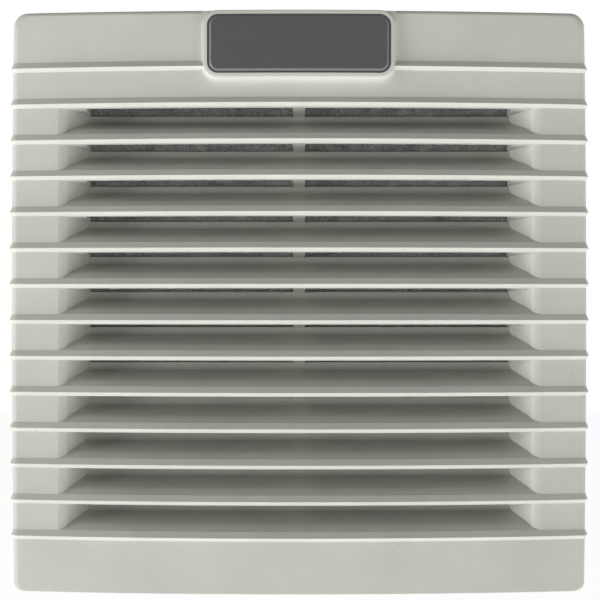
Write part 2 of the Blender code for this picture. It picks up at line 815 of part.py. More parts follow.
def rim_relief():
    """The sloped relief of the lower rear edge, which swings past the flange as the cover opens."""
    half_height = cover_half_height(COVER_RIM_Y)
    drop = half_height + HINGE_Z
    reach = FLANGE_FRONT - FIT_GAP - HINGE_Y
    lift = reach - math.sqrt(reach**2 - drop**2)
    slope = lift / drop
    low = -half_height - CUT_OVER
    outline = [
        (COVER_RIM_Y, HINGE_Z),
        (COVER_RIM_Y + CUT_OVER, HINGE_Z),
        (COVER_RIM_Y + CUT_OVER, low),
        (COVER_RIM_Y - slope * (HINGE_Z - low), low),
    ]
    half = COVER_HALF_WIDTH + FIN_OVERHANG + SIDE_DRAFT + CUT_OVER
    return extruded_outline("rim_relief", outline, -half, half, "X")


def front_cover(surface):
    """The louvred cover."""
    cover = cover_solid("front_cover", 0, FRONT_FACE_Y, COVER_RIM_Y)
    hollow_front = FRONT_FACE_Y + COVER_WALL
    cut(cover, cover_solid("cover_hollow", COVER_WALL, hollow_front, COVER_RIM_Y + CUT_OVER))
    join(cover, core_block())
    passages = as_mesh(join(slot_passages(), slot_mouths()))
    passages.name = "louvre_slots"
    cut(cover, passages)
    cut(cover, lowest_blade_relief())
    join(cover, joined("fins", [fin(index) for index in range(FIN_COUNT)]))
    join(cover, joined("rib_and_bezel", [centre_rib(), badge_bezel()]))
    pocket_floor = badge_face() + BADGE_THICKNESS + FIT_GAP
    cut(cover, badge_shape("badge_pocket", FIT_GAP, at_depth(-BEZEL_PROUD - CUT_OVER), pocket_floor))
    cover = crown(as_mesh(cover))
    set_origin(cover, (0, HINGE_Y, HINGE_Z))
    join(cover, joined("ears_and_pads", hinge_ears() + catch_pads()))
    cut(cover, lug_notches())
    cut(cover, hinge_bores("ear_bores", ear_half() + CUT_OVER, FIT_GAP))
    cut(cover, rim_relief())
    return finish(cover, surface)


def badge_plate(surface):
    """The bare plate in the bezel, crowned as the cover is."""
    face = badge_face()
    plate = crown(badge_shape("badge_plate", 0, face, face + BADGE_THICKNESS))
    set_origin(plate, (0, HINGE_Y, HINGE_Z))
    return finish(plate, surface)


def hinge_pins(surface):
    """The two pins that carry the cover."""
    for side, place in zip(("left", "right"), hinge_places()):
        low = place - ear_half()
        high = place + ear_half()
        pin = cylinder(
            f"hinge_pin_{side}", (HINGE_Y, HINGE_Z), HINGE_PIN_RADIUS, low, high, "X"
        )
        set_origin(pin, (place, HINGE_Y, HINGE_Z))
        finish(pin, surface, smooth=True)


# Filter mat and seal
def filter_mat(surface):
    """The fibre mat, a little smaller than its well."""
    half = DUCT_INNER_HALF - FIT_GAP
    return finish(box("filter_mat", (-half, MAT_FRONT, -half), (half, MAT_REAR, half)), surface)


def door_seal(surface):
    """The foam ring between the flange and the door."""
    front = FLANGE_REAR + FIT_GAP
    outer = square_outline(SEAL_OUTER_HALF, SEAL_CORNER_RADIUS)
    inner = square_outline(SEAL_OUTER_HALF - SEAL_WIDTH, SEAL_CORNER_RADIUS)
    seal = extruded_outline("door_seal", outer, front, 0, "Y")
    cut(seal, extruded_outline("seal_opening", inner, front - CUT_OVER, CUT_OVER, "Y"))
    return finish(seal, surface)


# Base frame
def on_side(item, index):
    """Turn a shape made for the duct's right side on to another side."""
    item.data.transform(Matrix.Rotation(math.radians(-90 * index), 4, "Y"))
    return item


def duct_and_hopper():
    """The outer form of the duct and of the hopper that narrows to the fan."""
    duct = square_outline(DUCT_OUTER_HALF, DUCT_CORNER_RADIUS)
    plate = square_outline(PLATE_HALF, PLATE_CORNER_RADIUS)
    rings = [
        ring_at(duct, FLANGE_REAR - BITE),
        ring_at(duct, DUCT_REAR),
        ring_at(plate, PLATE_FRONT),
        ring_at(plate, PLATE_REAR),
    ]
    return loft("duct_and_hopper", rings)


def plenum():
    """The air space behind the support grille, as far as the fan plate."""
    duct = square_outline(PLENUM_HALF, DUCT_CORNER_RADIUS - DUCT_WALL)
    plate = square_outline(PLATE_HALF - DUCT_WALL, PLATE_CORNER_RADIUS - DUCT_WALL)
    rings = [ring_at(duct, LEDGE_Y - CUT_OVER), ring_at(duct, DUCT_REAR), ring_at(plate, PLATE_FRONT)]
    return loft("plenum", rings)


def mat_well():
    """The well for the support grille and the mat in front of it."""
    outline = square_outline(DUCT_INNER_HALF, FIT_GAP)
    return extruded_outline("mat_well", outline, FLANGE_FRONT - CUT_OVER, LEDGE_Y, "Y")


def grille_windows():
    """The square windows of the support grille."""
    span = 2 * (DUCT_INNER_HALF - FIT_GAP)
    window = (span - (GRILLE_WINDOWS + 1) * GRILLE_RIB) / GRILLE_WINDOWS
    pitch = window + GRILLE_RIB
    first = -span / 2 + GRILLE_RIB
    windows = []
    for column in range(GRILLE_WINDOWS):
        for row in range(GRILLE_WINDOWS):
            low = (first + column * pitch, GRILLE_FRONT - CUT_OVER, first + row * pitch)
            high = (low[0] + window, GRILLE_REAR + CUT_OVER, low[2] + window)
            windows.append(box("window", low, high))
    return joined("grille_windows", windows)


def support_grille(surface):
    """The flat grille that the mat lies on, seated on the ledge in the duct."""
    half = DUCT_INNER_HALF - FIT_GAP
    grille = box("support_grille", (-half, GRILLE_FRONT, -half), (half, GRILLE_REAR, half))
    cut(grille, grille_windows())
    return finish(grille, surface)


def hinge_lugs():
    """The round-ended lugs on the flange that the cover turns on."""
    outline = [(FLANGE_FRONT + BITE, HINGE_Z + LUG_RADIUS)]
    steps = SMALL_SEGMENTS // 2
    for step in range(steps + 1):
        angle = math.pi * (0.5 + step / steps)
        along = HINGE_Y + LUG_RADIUS * math.cos(angle)
        up = HINGE_Z + LUG_RADIUS * math.sin(angle)
        outline.append((along, up))
    outline.append((FLANGE_FRONT + BITE, HINGE_Z - LUG_RADIUS))
    half = LUG_WIDTH / 2
    return [
        extruded_outline("hinge_lug", outline, place - half, place + half, "X")
        for place in hinge_places()
    ]


def frame_catches():
    """The two short shelves that the cover's pads rest over when it is shut."""
    shelves = []
    for place in (-CATCH_OFFSET_X, CATCH_OFFSET_X):
        low = (
            place - CATCH_WIDTH / 2,
            FLANGE_FRONT - CATCH_FRAME_REACH,
            CATCH_Z - CATCH_THICKNESS / 2,
        )
        high = (place + CATCH_WIDTH / 2, FLANGE_FRONT + BITE, CATCH_Z + CATCH_THICKNESS / 2)
        shelves.append(box("frame_catch", low, high))
    return shelves


def clip_boss_half():
    """Half the width of the boss that a clip's pin is held in."""
    return CLIP_WIDTH / 2 + 2 * FIT_GAP + CLIP_SIDE_WALL


def clip_eye_radius():
    """The outer radius of a clip's eye."""
    return CLIP_PIN_RADIUS + FIT_GAP + CLIP_THICKNESS


def clip_bosses():
    """The bosses inside the duct's walls, behind the clips' pockets."""
    reach = clip_eye_radius() + FIT_GAP + CLIP_POCKET_WALL
    half = clip_boss_half()
    bosses = []
    for index in range(len(CLIP_SIDES)):
        low = (CLIP_EYE_X - reach, CLIP_EYE_Y - reach, -half)
        high = (DUCT_INNER_HALF + BITE, CLIP_EYE_Y + reach, half)
        bosses.append(on_side(box("clip_boss", low, high), index))
    return bosses


def clip_pockets():
    """The shallow recess for each clip's arm, with the deep pocket for its eye."""
    floor = DUCT_OUTER_HALF - CLIP_RECESS_DEPTH
    outside = DUCT_OUTER_HALF + CUT_OVER
    room = clip_eye_radius() + FIT_GAP
    outline = [
        (outside, CLIP_RECESS_START),
        (outside, CLIP_EYE_Y + room),
        (CLIP_EYE_X - room, CLIP_EYE_Y + room),
        (CLIP_EYE_X - room, CLIP_EYE_Y - room),
        (floor, CLIP_EYE_Y - room),
        (floor, CLIP_RECESS_START),
    ]
    half = CLIP_WIDTH / 2 + 2 * FIT_GAP
    pockets = []
    for index in range(len(CLIP_SIDES)):
        pocket = extruded_outline("clip_pocket", outline, -half, half, "Z")
        pockets.append(on_side(pocket, index))
    return joined("clip_pockets", pockets)


def clip_pin_half():
    """Half the length of a clip's pin."""
    return CLIP_WIDTH / 2 + 2 * FIT_GAP + CLIP_PIN_ANCHOR


def clip_pin_bores():
    """The bores that hold the ends of the clips' pins."""
    half = clip_pin_half() + FIT_GAP
    radius = CLIP_PIN_RADIUS + FIT_GAP
    bores = []
    for index in range(len(CLIP_SIDES)):
        centre = (CLIP_EYE_X, CLIP_EYE_Y)
        bores.append(on_side(cylinder("clip_bore", centre, radius, -half, half, "Z"), index))
    return joined("clip_pin_bores", bores)


def screw_bosses():
    """The bosses that the fan's screws run into."""
    low = PLATE_FRONT - SCREW_BOSS_LENGTH
    return [
        cylinder("screw_boss", corner, SCREW_BOSS_RADIUS, low, PLATE_FRONT + BITE, "Y")
        for corner in four_corners(FAN_HOLE_OFFSET)
    ]


def screw_bores(low, high):
    """The bores for the fan's screws."""
    radius = SCREW_RADIUS + FIT_GAP
    bores = [
        cylinder("screw_bore", corner, radius, low, high, "Y")
        for corner in four_corners(FAN_HOLE_OFFSET)
    ]
    return joined("screw_bores", bores)


def terminal_pad():
    """The raised seat for the terminal block on the hopper's slope."""
    rear = PLATE_FRONT - PAD_SET_BACK
    half_x = TERMINAL_WIDTH / 2 + PAD_MARGIN / 2
    half_z = TERMINAL_LENGTH / 2 + PAD_MARGIN
    low = (TERMINAL_CENTRE_X - half_x, rear - PAD_DEPTH, -half_z)
    high = (TERMINAL_CENTRE_X + half_x, rear, half_z)
    return box("terminal_pad", low, high)


def base_frame(surface):
    """The moulded frame that snaps into the door."""
    flange = rounded_outline(
        FLANGE_HALF_WIDTH, FLANGE_HALF_HEIGHT, TOP_CORNER_RADIUS, BOTTOM_CORNER_RADIUS
    )
    frame = extruded_outline("base_frame", flange, FLANGE_FRONT, FLANGE_REAR, "Y")
    join(frame, duct_and_hopper())
    join(frame, terminal_pad())
    cut(frame, mat_well())
    cut(frame, plenum())
    throat_start = PLATE_FRONT - CUT_OVER
    throat_end = PLATE_REAR + CUT_OVER
    cut(frame, cylinder("throat", (0, 0), THROAT_RADIUS, throat_start, throat_end, "Y", ROUND_SEGMENTS))
    fittings = clip_bosses() + screw_bosses() + hinge_lugs() + frame_catches()
    join(frame, joined("frame_fittings", fittings))
    cut(frame, clip_pockets())
    cut(frame, clip_pin_bores())
    boss_start = PLATE_FRONT - SCREW_BOSS_LENGTH - CUT_OVER
    cut(frame, screw_bores(boss_start, PLATE_REAR + CUT_OVER))
    cut(frame, hinge_bores("lug_bores", LUG_WIDTH / 2 + CUT_OVER, FIT_GAP))
    return finish(frame, surface)


# Spring clips
def clip_strip():
    """A clip: a strip of spring steel curled round its pin, with a straight arm towards the door."""
    middle = CLIP_PIN_RADIUS + FIT_GAP + CLIP_THICKNESS / 2
    points = []
    for step in range(CLIP_EYE_STEPS + 1):
        angle = CLIP_EYE_END * (1 - step / CLIP_EYE_STEPS)
        points.append((middle * math.cos(angle), middle * math.sin(angle)))
    points.append((middle, -CLIP_ARM_LENGTH))
    bm = bmesh.new()
    verts = [bm.verts.new((across, along, -CLIP_WIDTH / 2)) for across, along in points]
    edges = [bm.edges.new(pair) for pair in zip(verts, verts[1:])]
    strip = bmesh.ops.extrude_edge_only(bm, edges=edges)
    far = [part for part in strip["geom"] if isinstance(part, bmesh.types.BMVert)]
    bmesh.ops.translate(bm, vec=(0, 0, CLIP_WIDTH), verts=far)
    bmesh.ops.rotate(
        bm, cent=(0, 0, 0), matrix=Matrix.Rotation(CLIP_REST_ANGLE, 3, "Z"), verts=bm.verts
    )
    clip = mesh_object("clip_strip", bm)
    skin = clip.modifiers.new("gauge", "SOLIDIFY")
    skin.thickness = CLIP_THICKNESS
    skin.offset = 0
    skin.use_even_offset = True
    return as_mesh(clip)


def clips_and_pins(clip_surface, pin_surface):
    """The four clips on the duct, each on its pin."""
    pattern = clip_strip()
    half = clip_pin_half()
    pin_pattern = cylinder("pin_pattern", (0, 0), CLIP_PIN_RADIUS, -half, half, "Z")
    for index, side in enumerate(CLIP_SIDES):
        turn = Matrix.Rotation(math.radians(-90 * index), 4, "Y")
        place = turn @ Matrix.Translation((CLIP_EYE_X, CLIP_EYE_Y, 0))
        for label, source, surface in (
            ("clip", pattern, clip_surface),
            ("clip_pin", pin_pattern, pin_surface),
        ):
            item = bpy.data.objects.new(f"{label}_{side}", source.data)
            bpy.context.scene.collection.objects.link(item)
            item.matrix_world = place
            finish(item, surface, smooth=True)
    for item in (pattern, pin_pattern):
        bpy.data.objects.remove(item, do_unlink=True)


# Fan
def fan_housing(surface):
    """The die-cast fan frame: two square flanges, a barrel, struts and the bearing tube."""
    square = square_outline(FAN_HALF, FAN_CORNER_RADIUS)
    flanges = [
        extruded_outline("fan_flange", square, FAN_FRONT, FAN_FRONT + FAN_FLANGE, "Y"),
        extruded_outline("fan_flange", square, FAN_REAR - FAN_FLANGE, FAN_REAR, "Y"),
    ]
    barrel_low = FAN_FRONT + BITE
    barrel_high = FAN_REAR - BITE
    housing = joined("fan_housing", flanges)
    centre = (0, 0)
    barrel = cylinder("barrel", centre, BARREL_RADIUS, barrel_low, barrel_high, "Y", ROUND_SEGMENTS)
    join(housing, barrel)
    bore_low = FAN_FRONT - CUT_OVER
    bore_high = FAN_REAR + CUT_OVER
    cut(housing, cylinder("bore", centre, BORE_RADIUS, bore_low, bore_high, "Y", ROUND_SEGMENTS))
    disc_front = FAN_REAR - HUB_DISC_THICKNESS
    tube_bore = BEARING_RADIUS + FIT_GAP
    hub = turned("motor_mount", [
        (0, TUBE_FLOOR_Y),
        (tube_bore, TUBE_FLOOR_Y),
        (tube_bore, TUBE_FRONT_Y),
        (BEARING_TUBE_RADIUS, TUBE_FRONT_Y),
        (BEARING_TUBE_RADIUS, disc_front),
        (HUB_DISC_RADIUS, disc_front),
        (HUB_DISC_RADIUS, FAN_REAR - BITE),
        (0, FAN_REAR - BITE),
    ])
    struts = []
    for index in range(STRUT_COUNT):
        low = (HUB_DISC_RADIUS - STRUT_WIDTH, FAN_REAR - STRUT_DEPTH, -STRUT_WIDTH / 2)
        high = ((BORE_RADIUS + BARREL_RADIUS) / 2, FAN_REAR - 2 * BITE, STRUT_WIDTH / 2)
        strut = box("strut", low, high)
        turn = STRUT_TURN + 2 * math.pi * index / STRUT_COUNT
        strut.data.transform(Matrix.Rotation(turn, 4, "Y"))
        struts.append(strut)
    mount = as_mesh(join(hub, joined("struts", struts)))
    join(housing, mount)
    cut(housing, screw_bores(FAN_FRONT - CUT_OVER, FAN_REAR + CUT_OVER))
    return finish(housing, surface)


def bearing(name, start, surface):
    """A ball bearing as a closed ring with a shallow step between its races on both faces."""
    middle = (SHAFT_HOLE_RADIUS + BEARING_RADIUS) / 2
    land = (BEARING_RADIUS - SHAFT_HOLE_RADIUS) / 6
    end = start + BEARING_WIDTH
    profile = [
        (SHAFT_HOLE_RADIUS, end),
        (middle - land, end),
        (middle - land, end - BEARING_GROOVE),
        (middle + land, end - BEARING_GROOVE),
        (middle + land, end),
        (BEARING_RADIUS, end),
        (BEARING_RADIUS, start),
        (middle + land, start),
        (middle + land, start + BEARING_GROOVE),
        (middle - land, start + BEARING_GROOVE),
        (middle - land, start),
        (SHAFT_HOLE_RADIUS, start),
    ]
    return finish(turned(name, profile, SMALL_SEGMENTS), surface, smooth=True)


def shaft(surface):
    """The motor shaft."""
    item = cylinder("shaft", (0, 0), SHAFT_RADIUS, CUP_FRONT_Y, SHAFT_REAR_Y, "Y")
    return finish(item, surface, smooth=True)


def shaft_ring(surface):
    """The ring that holds the shaft in the bearings."""
    front = SHAFT_RING_REAR_Y - SHAFT_RING_THICKNESS
    profile = [
        (SHAFT_HOLE_RADIUS, SHAFT_RING_REAR_Y),
        (SHAFT_RING_RADIUS, SHAFT_RING_REAR_Y),
        (SHAFT_RING_RADIUS, front),
        (SHAFT_HOLE_RADIUS, front),
    ]
    return finish(turned("shaft_ring", profile, SMALL_SEGMENTS), surface, smooth=True)


def rotor_cup(surface):
    """The steel cup of the outer rotor, with the boss that grips the shaft."""
    inner_front = CUP_FRONT_Y + CUP_FRONT_WALL
    boss_rear = inner_front + CUP_BOSS_LENGTH
    profile = [
        (CUP_INNER_RADIUS, CUP_REAR_Y),
        (CUP_RADIUS, CUP_REAR_Y),
        (CUP_RADIUS, CUP_FRONT_Y),
        (SHAFT_HOLE_RADIUS, CUP_FRONT_Y),
        (SHAFT_HOLE_RADIUS, boss_rear),
        (CUP_BOSS_RADIUS, boss_rear),
        (CUP_BOSS_RADIUS, inner_front),
        (CUP_INNER_RADIUS, inner_front),
    ]
    return finish(turned("rotor_cup", profile), surface, smooth=True)


def rotor_cage(surface):
    """The short-circuit cage inside the cup."""
    front = CAGE_REAR_Y - CAGE_LENGTH
    profile = [
        (CAGE_INNER_RADIUS, CAGE_REAR_Y),
        (CAGE_OUTER_RADIUS, CAGE_REAR_Y),
        (CAGE_OUTER_RADIUS, front),
        (CAGE_INNER_RADIUS, front),
    ]
    return finish(turned("rotor_cage", profile), surface, smooth=True)


def winding_legs(name, extra):
    """The parts of the winding that lie in the core's slots, grown by a clearance."""
    half_length = CORE_LENGTH / 2 + BITE + FIT_GAP + extra
    half_width = WINDING_LEG_WIDTH / 2 + extra
    legs = []
    for index in range(POLE_COUNT):
        low = (WINDING_LEG_INNER - extra, CORE_CENTRE_Y - half_length, -half_width)
        high = (WINDING_LEG_OUTER + extra, CORE_CENTRE_Y + half_length, half_width)
        leg = box(name, low, high)
        leg.data.transform(Matrix.Rotation(2 * math.pi * index / POLE_COUNT, 4, "Y"))
        legs.append(leg)
    return joined(name, legs)


def stator_core(surface):
    """The laminated core on the bearing tube."""
    inner = BEARING_TUBE_RADIUS + FIT_GAP
    front = CORE_CENTRE_Y - CORE_LENGTH / 2
    rear = CORE_CENTRE_Y + CORE_LENGTH / 2
    profile = [(inner, rear), (CORE_RADIUS, rear), (CORE_RADIUS, front), (inner, front)]
    core = turned("stator_core", profile)
    cut(core, winding_legs("core_slots", FIT_GAP))
    return finish(core, surface)


def stator_winding(surface):
    """The winding: a turn at each end of the core, joined through its slots."""
    ends = []
    for side in (-1, 1):
        near = CORE_CENTRE_Y + side * (CORE_LENGTH / 2 + FIT_GAP)
        far = near + side * WINDING_LENGTH
        low = min(near, far)
        high = max(near, far)
        profile = [
            (WINDING_INNER_RADIUS, high),
            (WINDING_OUTER_RADIUS, high),
            (WINDING_OUTER_RADIUS, low),
            (WINDING_INNER_RADIUS, low),
        ]
        ends.append(turned("winding_end", profile, ROUND_SEGMENTS // 2))
    winding = joined("stator_winding", ends)
    join(winding, winding_legs("winding_legs", 0))
    return finish(winding, surface)


def impeller_blade(index):
    """One twisted blade, from inside the hub's wall to just short of the barrel."""
    bm = bmesh.new()
    bmesh.ops.create_grid(bm, x_segments=BLADE_CHORD_STEPS, y_segments=BLADE_SPAN_STEPS, size=0.5)
    root = HUB_RADIUS - BITE
    tip = BORE_RADIUS - BLADE_TIP_GAP
    centre_y = HUB_FRONT_Y + HUB_LENGTH / 2
    start = 2 * math.pi * index / BLADE_COUNT
    for vert in bm.verts:
        chord = vert.co.x
        span = vert.co.y + 0.5
        radius = root + (tip - root) * span
        angle = start + BLADE_SWEEP * chord + BLADE_LEAN * span
        angle += BLADE_CAMBER * (1 - 4 * chord**2)
        along = centre_y + BLADE_AXIAL_LENGTH * chord
        vert.co = (radius * math.cos(angle), along, radius * math.sin(angle))
    blade = mesh_object("impeller_blade", bm)
    skin = blade.modifiers.new("thickness", "SOLIDIFY")
    skin.thickness = BLADE_THICKNESS
    skin.offset = 0
    return as_mesh(blade)


def impeller(surface):
    """The fan wheel: a hub pressed over the rotor cup, with its blades."""
    rear = HUB_FRONT_Y + HUB_LENGTH
    inner_front = HUB_FRONT_Y + HUB_FRONT_WALL
    profile = [
        (0, inner_front),
        (HUB_INNER_RADIUS, inner_front),
        (HUB_INNER_RADIUS, rear),
        (HUB_RADIUS, rear),
        (HUB_RADIUS, HUB_FRONT_Y + HUB_EDGE_RADIUS),
        (HUB_RADIUS - HUB_EDGE_RADIUS * (1 - math.sqrt(0.5)),
         HUB_FRONT_Y + HUB_EDGE_RADIUS * (1 - math.sqrt(0.5))),
        (HUB_RADIUS - HUB_EDGE_RADIUS, HUB_FRONT_Y),
        (0, HUB_FRONT_Y),
    ]
    wheel = turned("impeller", profile)
    join(wheel, joined("blades", [impeller_blade(index) for index in range(BLADE_COUNT)]))
    return finish(wheel, surface)


# Finger guard and screws
def guard_ring(radius, centre, place, segments):
    """A closed wire ring across Y."""
    bpy.ops.mesh.primitive_torus_add(
        major_segments=segments,
        minor_segments=GUARD_WIRE_SEGMENTS,
        major_radius=radius,
        minor_radius=GUARD_WIRE_RADIUS,
    )
    ring = bpy.context.object
    ring.data.transform(AXIS_FRAMES["Y"] @ Matrix.Translation((centre[0], centre[1], place)))
    return ring


def guard_spoke(angle):
    """A straight wire from inside the smallest ring to the eye round a screw."""
    start = GUARD_INNER_RADIUS - 2 * GUARD_WIRE_RADIUS
    end = FAN_HOLE_OFFSET * math.sqrt(2) - GUARD_EYE_RADIUS
    spoke = cylinder("spoke", (0, SPOKE_Y), GUARD_WIRE_RADIUS, start, end, "Z", GUARD_WIRE_SEGMENTS)
    spoke.data.transform(Matrix.Rotation(angle, 4, "Y"))
    return spoke


def finger_guard(surface):
    """The welded wire guard over the fan's outlet."""
    step = (BORE_RADIUS - GUARD_INNER_RADIUS) / (GUARD_RING_COUNT - 1)
    radii = [GUARD_INNER_RADIUS + index * step for index in range(GUARD_RING_COUNT)]
    rings = [guard_ring(radius, (0, 0), RING_Y, GUARD_RING_SEGMENTS) for radius in radii]
    guard = joined("finger_guard", rings)
    spokes = [guard_spoke(math.radians(45 + 90 * index)) for index in range(4)]
    join(guard, joined("guard_spokes", spokes))
    eyes = [
        guard_ring(GUARD_EYE_RADIUS, corner, SPOKE_Y, SMALL_SEGMENTS)
        for corner in four_corners(FAN_HOLE_OFFSET)
    ]
    join(guard, joined("guard_eyes", eyes))
    return finish(guard, surface)


def fan_screws(surface):
    """The four long screws, with their heads behind the guard's eyes."""
    seat = SPOKE_Y + GUARD_WIRE_RADIUS + FIT_GAP
    head_top = seat + SCREW_HEAD_HEIGHT
    profile = [
        (0, head_top),
        (SCREW_CROWN_RADIUS, head_top),
        (SCREW_HEAD_RADIUS, head_top - SCREW_HEAD_HEIGHT / 2),
        (SCREW_HEAD_RADIUS, seat),
        (SCREW_RADIUS, seat),
        (SCREW_RADIUS, seat - SCREW_LENGTH),
        (0, seat - SCREW_LENGTH),
    ]
    pattern = turned("screw_pattern", profile, SMALL_SEGMENTS)
    for number, corner in enumerate(four_corners(FAN_HOLE_OFFSET), start=1):
        screw = bpy.data.objects.new(f"fan_screw_{number}", pattern.data)
        bpy.context.scene.collection.objects.link(screw)
        screw.location = (corner[0], 0, corner[1])
        finish(screw, surface, smooth=True)
    bpy.data.objects.remove(pattern, do_unlink=True)


# Terminal block
def pole_places():
    """The places of the terminal's poles along Z."""
    middle = (TERMINAL_POLES - 1) / 2
    return [(index - middle) * TERMINAL_PITCH for index in range(TERMINAL_POLES)]


def terminal_base():
    """The place along Y of the terminal block's underside."""
    return PLATE_FRONT - PAD_SET_BACK + FIT_GAP


def terminal_block(surface):
    """The block that the supply and the fan's leads are clamped in."""
    base = terminal_base()
    top = base + TERMINAL_HEIGHT
    half_x = TERMINAL_WIDTH / 2
    half_z = TERMINAL_LENGTH / 2
    low_x = TERMINAL_CENTRE_X - half_x
    high_x = TERMINAL_CENTRE_X + half_x
    block = box("terminal_block", (low_x, base, -half_z), (high_x, top, half_z))
    edge = block.modifiers.new("edges", "BEVEL")
    edge.width = TERMINAL_EDGE
    edge.segments = 1
    entry_y = base + TERMINAL_ENTRY_HEIGHT
    well_floor = top - TERMINAL_WELL_DEPTH
    entries = []
    wells = []
    shanks = []
    for place in pole_places():
        entries.append(cylinder(
            "entry", (entry_y, place), TERMINAL_ENTRY_RADIUS,
            low_x - CUT_OVER, high_x + CUT_OVER, "X",
        ))
        centre = (TERMINAL_CENTRE_X, place)
        wells.append(cylinder("well", centre, TERMINAL_WELL_RADIUS, well_floor, top + CUT_OVER, "Y"))
        shank = TERMINAL_SCREW_RADIUS + FIT_GAP
        shanks.append(cylinder("shank", centre, shank, entry_y, well_floor + BITE, "Y"))
    cut(block, joined("wire_entries", entries))
    cut(block, joined("screw_wells", wells))
    cut(block, joined("screw_shanks", shanks))
    return finish(block, surface)


def terminal_screws(surface):
    """The clamping screws in the terminal's wells."""
    seat = terminal_base() + TERMINAL_HEIGHT - TERMINAL_WELL_DEPTH + FIT_GAP
    head_top = seat + TERMINAL_HEAD_HEIGHT
    tip = head_top - TERMINAL_SCREW_LENGTH
    profile = [
        (0, head_top),
        (TERMINAL_HEAD_RADIUS, head_top),
        (TERMINAL_HEAD_RADIUS, seat),
        (TERMINAL_SCREW_RADIUS, seat),
        (TERMINAL_SCREW_RADIUS, tip),
        (0, tip),
    ]
    pattern = turned("terminal_screw_pattern", profile, SMALL_SEGMENTS)
    for number, place in enumerate(pole_places(), start=1):
        screw = bpy.data.objects.new(f"terminal_screw_{number}", pattern.data)
        bpy.context.scene.collection.objects.link(screw)
        screw.location = (TERMINAL_CENTRE_X, 0, place)
        finish(screw, surface, smooth=True)
    bpy.data.objects.remove(pattern, do_unlink=True)


# The whole product
clear_scene()
PARTS = new_collection("cabinet_filter_fan")
CUTTERS = new_collection("cutters")

pale_grey = material("pale_grey_plastic", (0.50, 0.51, 0.485), 0.45)
dark_grey = material("dark_grey_plate", (0.085, 0.09, 0.09), 0.40)
fibre = material("filter_fibre", (0.16, 0.165, 0.16), 0.95)
foam = material("black_foam", (0.02, 0.02, 0.02), 0.95)
frame_grey = material("frame_grey_plastic", (0.48, 0.49, 0.465), 0.50)
steel = material("zinc_steel", (0.55, 0.55, 0.53), 0.35, 1.0)
spring_steel = material("spring_steel", (0.35, 0.36, 0.37), 0.30, 1.0)
casting = material("black_casting", (0.02, 0.02, 0.022), 0.45)
wheel_black = material("black_moulding", (0.018, 0.018, 0.018), 0.50)
lamination = material("core_steel", (0.22, 0.22, 0.23), 0.45, 1.0)
copper = material("copper_winding", (0.60, 0.24, 0.10), 0.35, 1.0)
aluminium = material("cage_aluminium", (0.60, 0.61, 0.62), 0.40, 1.0)
terminal_white = material("terminal_plastic", (0.62, 0.61, 0.56), 0.55)

front_cover(pale_grey)
badge_plate(dark_grey)
hinge_pins(steel)
filter_mat(fibre)
door_seal(foam)
base_frame(frame_grey)
support_grille(frame_grey)
clips_and_pins(spring_steel, steel)
fan_housing(casting)
bearing("front_bearing", FRONT_BEARING_Y, steel)
bearing("rear_bearing", REAR_BEARING_Y, steel)
shaft(steel)
shaft_ring(spring_steel)
rotor_cup(lamination)
rotor_cage(aluminium)
stator_core(lamination)
stator_winding(copper)
impeller(wheel_black)
finger_guard(steel)
fan_screws(steel)
terminal_block(terminal_white)
terminal_screws(steel)
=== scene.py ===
"""Cabinet filter fan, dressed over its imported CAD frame.

All sizes are in metres, in the frame of the part: the origin is the centre of the panel
cut-out in the door's outer face, the front faces -Y, and +Z is up.
"""
import json
import math
import random

import bmesh
import bpy
from mathutils import Matrix, Vector, noise

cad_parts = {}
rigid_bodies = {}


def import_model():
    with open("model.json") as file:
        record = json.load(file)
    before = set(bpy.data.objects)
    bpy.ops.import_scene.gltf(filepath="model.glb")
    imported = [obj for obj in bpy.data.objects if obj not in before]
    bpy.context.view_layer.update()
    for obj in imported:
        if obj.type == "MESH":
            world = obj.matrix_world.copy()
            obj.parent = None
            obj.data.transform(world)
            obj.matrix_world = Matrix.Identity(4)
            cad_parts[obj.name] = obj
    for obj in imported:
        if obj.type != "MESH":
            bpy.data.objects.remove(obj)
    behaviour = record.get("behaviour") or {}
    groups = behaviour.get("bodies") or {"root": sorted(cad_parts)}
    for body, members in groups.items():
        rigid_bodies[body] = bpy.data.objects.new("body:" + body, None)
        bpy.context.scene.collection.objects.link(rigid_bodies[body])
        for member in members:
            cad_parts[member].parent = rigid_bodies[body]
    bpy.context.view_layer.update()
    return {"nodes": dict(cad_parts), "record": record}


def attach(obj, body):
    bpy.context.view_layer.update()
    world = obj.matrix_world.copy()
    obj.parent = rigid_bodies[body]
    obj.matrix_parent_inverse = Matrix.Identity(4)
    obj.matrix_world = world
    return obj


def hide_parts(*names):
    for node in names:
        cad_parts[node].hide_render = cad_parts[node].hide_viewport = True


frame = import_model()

# Camera and light
CAMERA_PLACE = (0.00033, -0.464, 0.00076)
CAMERA_LENS = 76.3
CAMERA_SENSOR = 36.0
CAMERA_CLIP = 0.01
FLOOR_Z = -0.30
FLOOR_HALF = 3.0
FLOOR_COLOUR = (0.8, 0.8, 0.8)
FLOOR_ROUGHNESS = 0.9
FLOOR_WHITE = 0.74
WHITE = (1, 1, 1, 1)
LAMP_DISTANCE = 1.5
# Each lamp: name, azimuth and elevation in degrees, side in metres, power in watts
LAMPS = (
    ("low", -8, -19, 0.5, 2.9),
    ("low_left", -58, -30, 0.6, 1.8),
    ("low_right", 52, -26, 0.6, 2.6),
    ("left", -72, -2, 0.5, 13.0),
    ("right", 72, -2, 0.5, 4.2),
)
GLOW_EVEN = 0.02
# Each glow of the world: its axis and sign, sharpness, strength
GLOWS = (
    ("Z", -1, 1.0, 0.10),
    ("Z", -1, 4.0, 5.6),
    ("X", -1, 6.0, 0.4),
    ("X", 1, 6.0, 0.3),
    ("Z", 1, 1.0, 0.24),
)

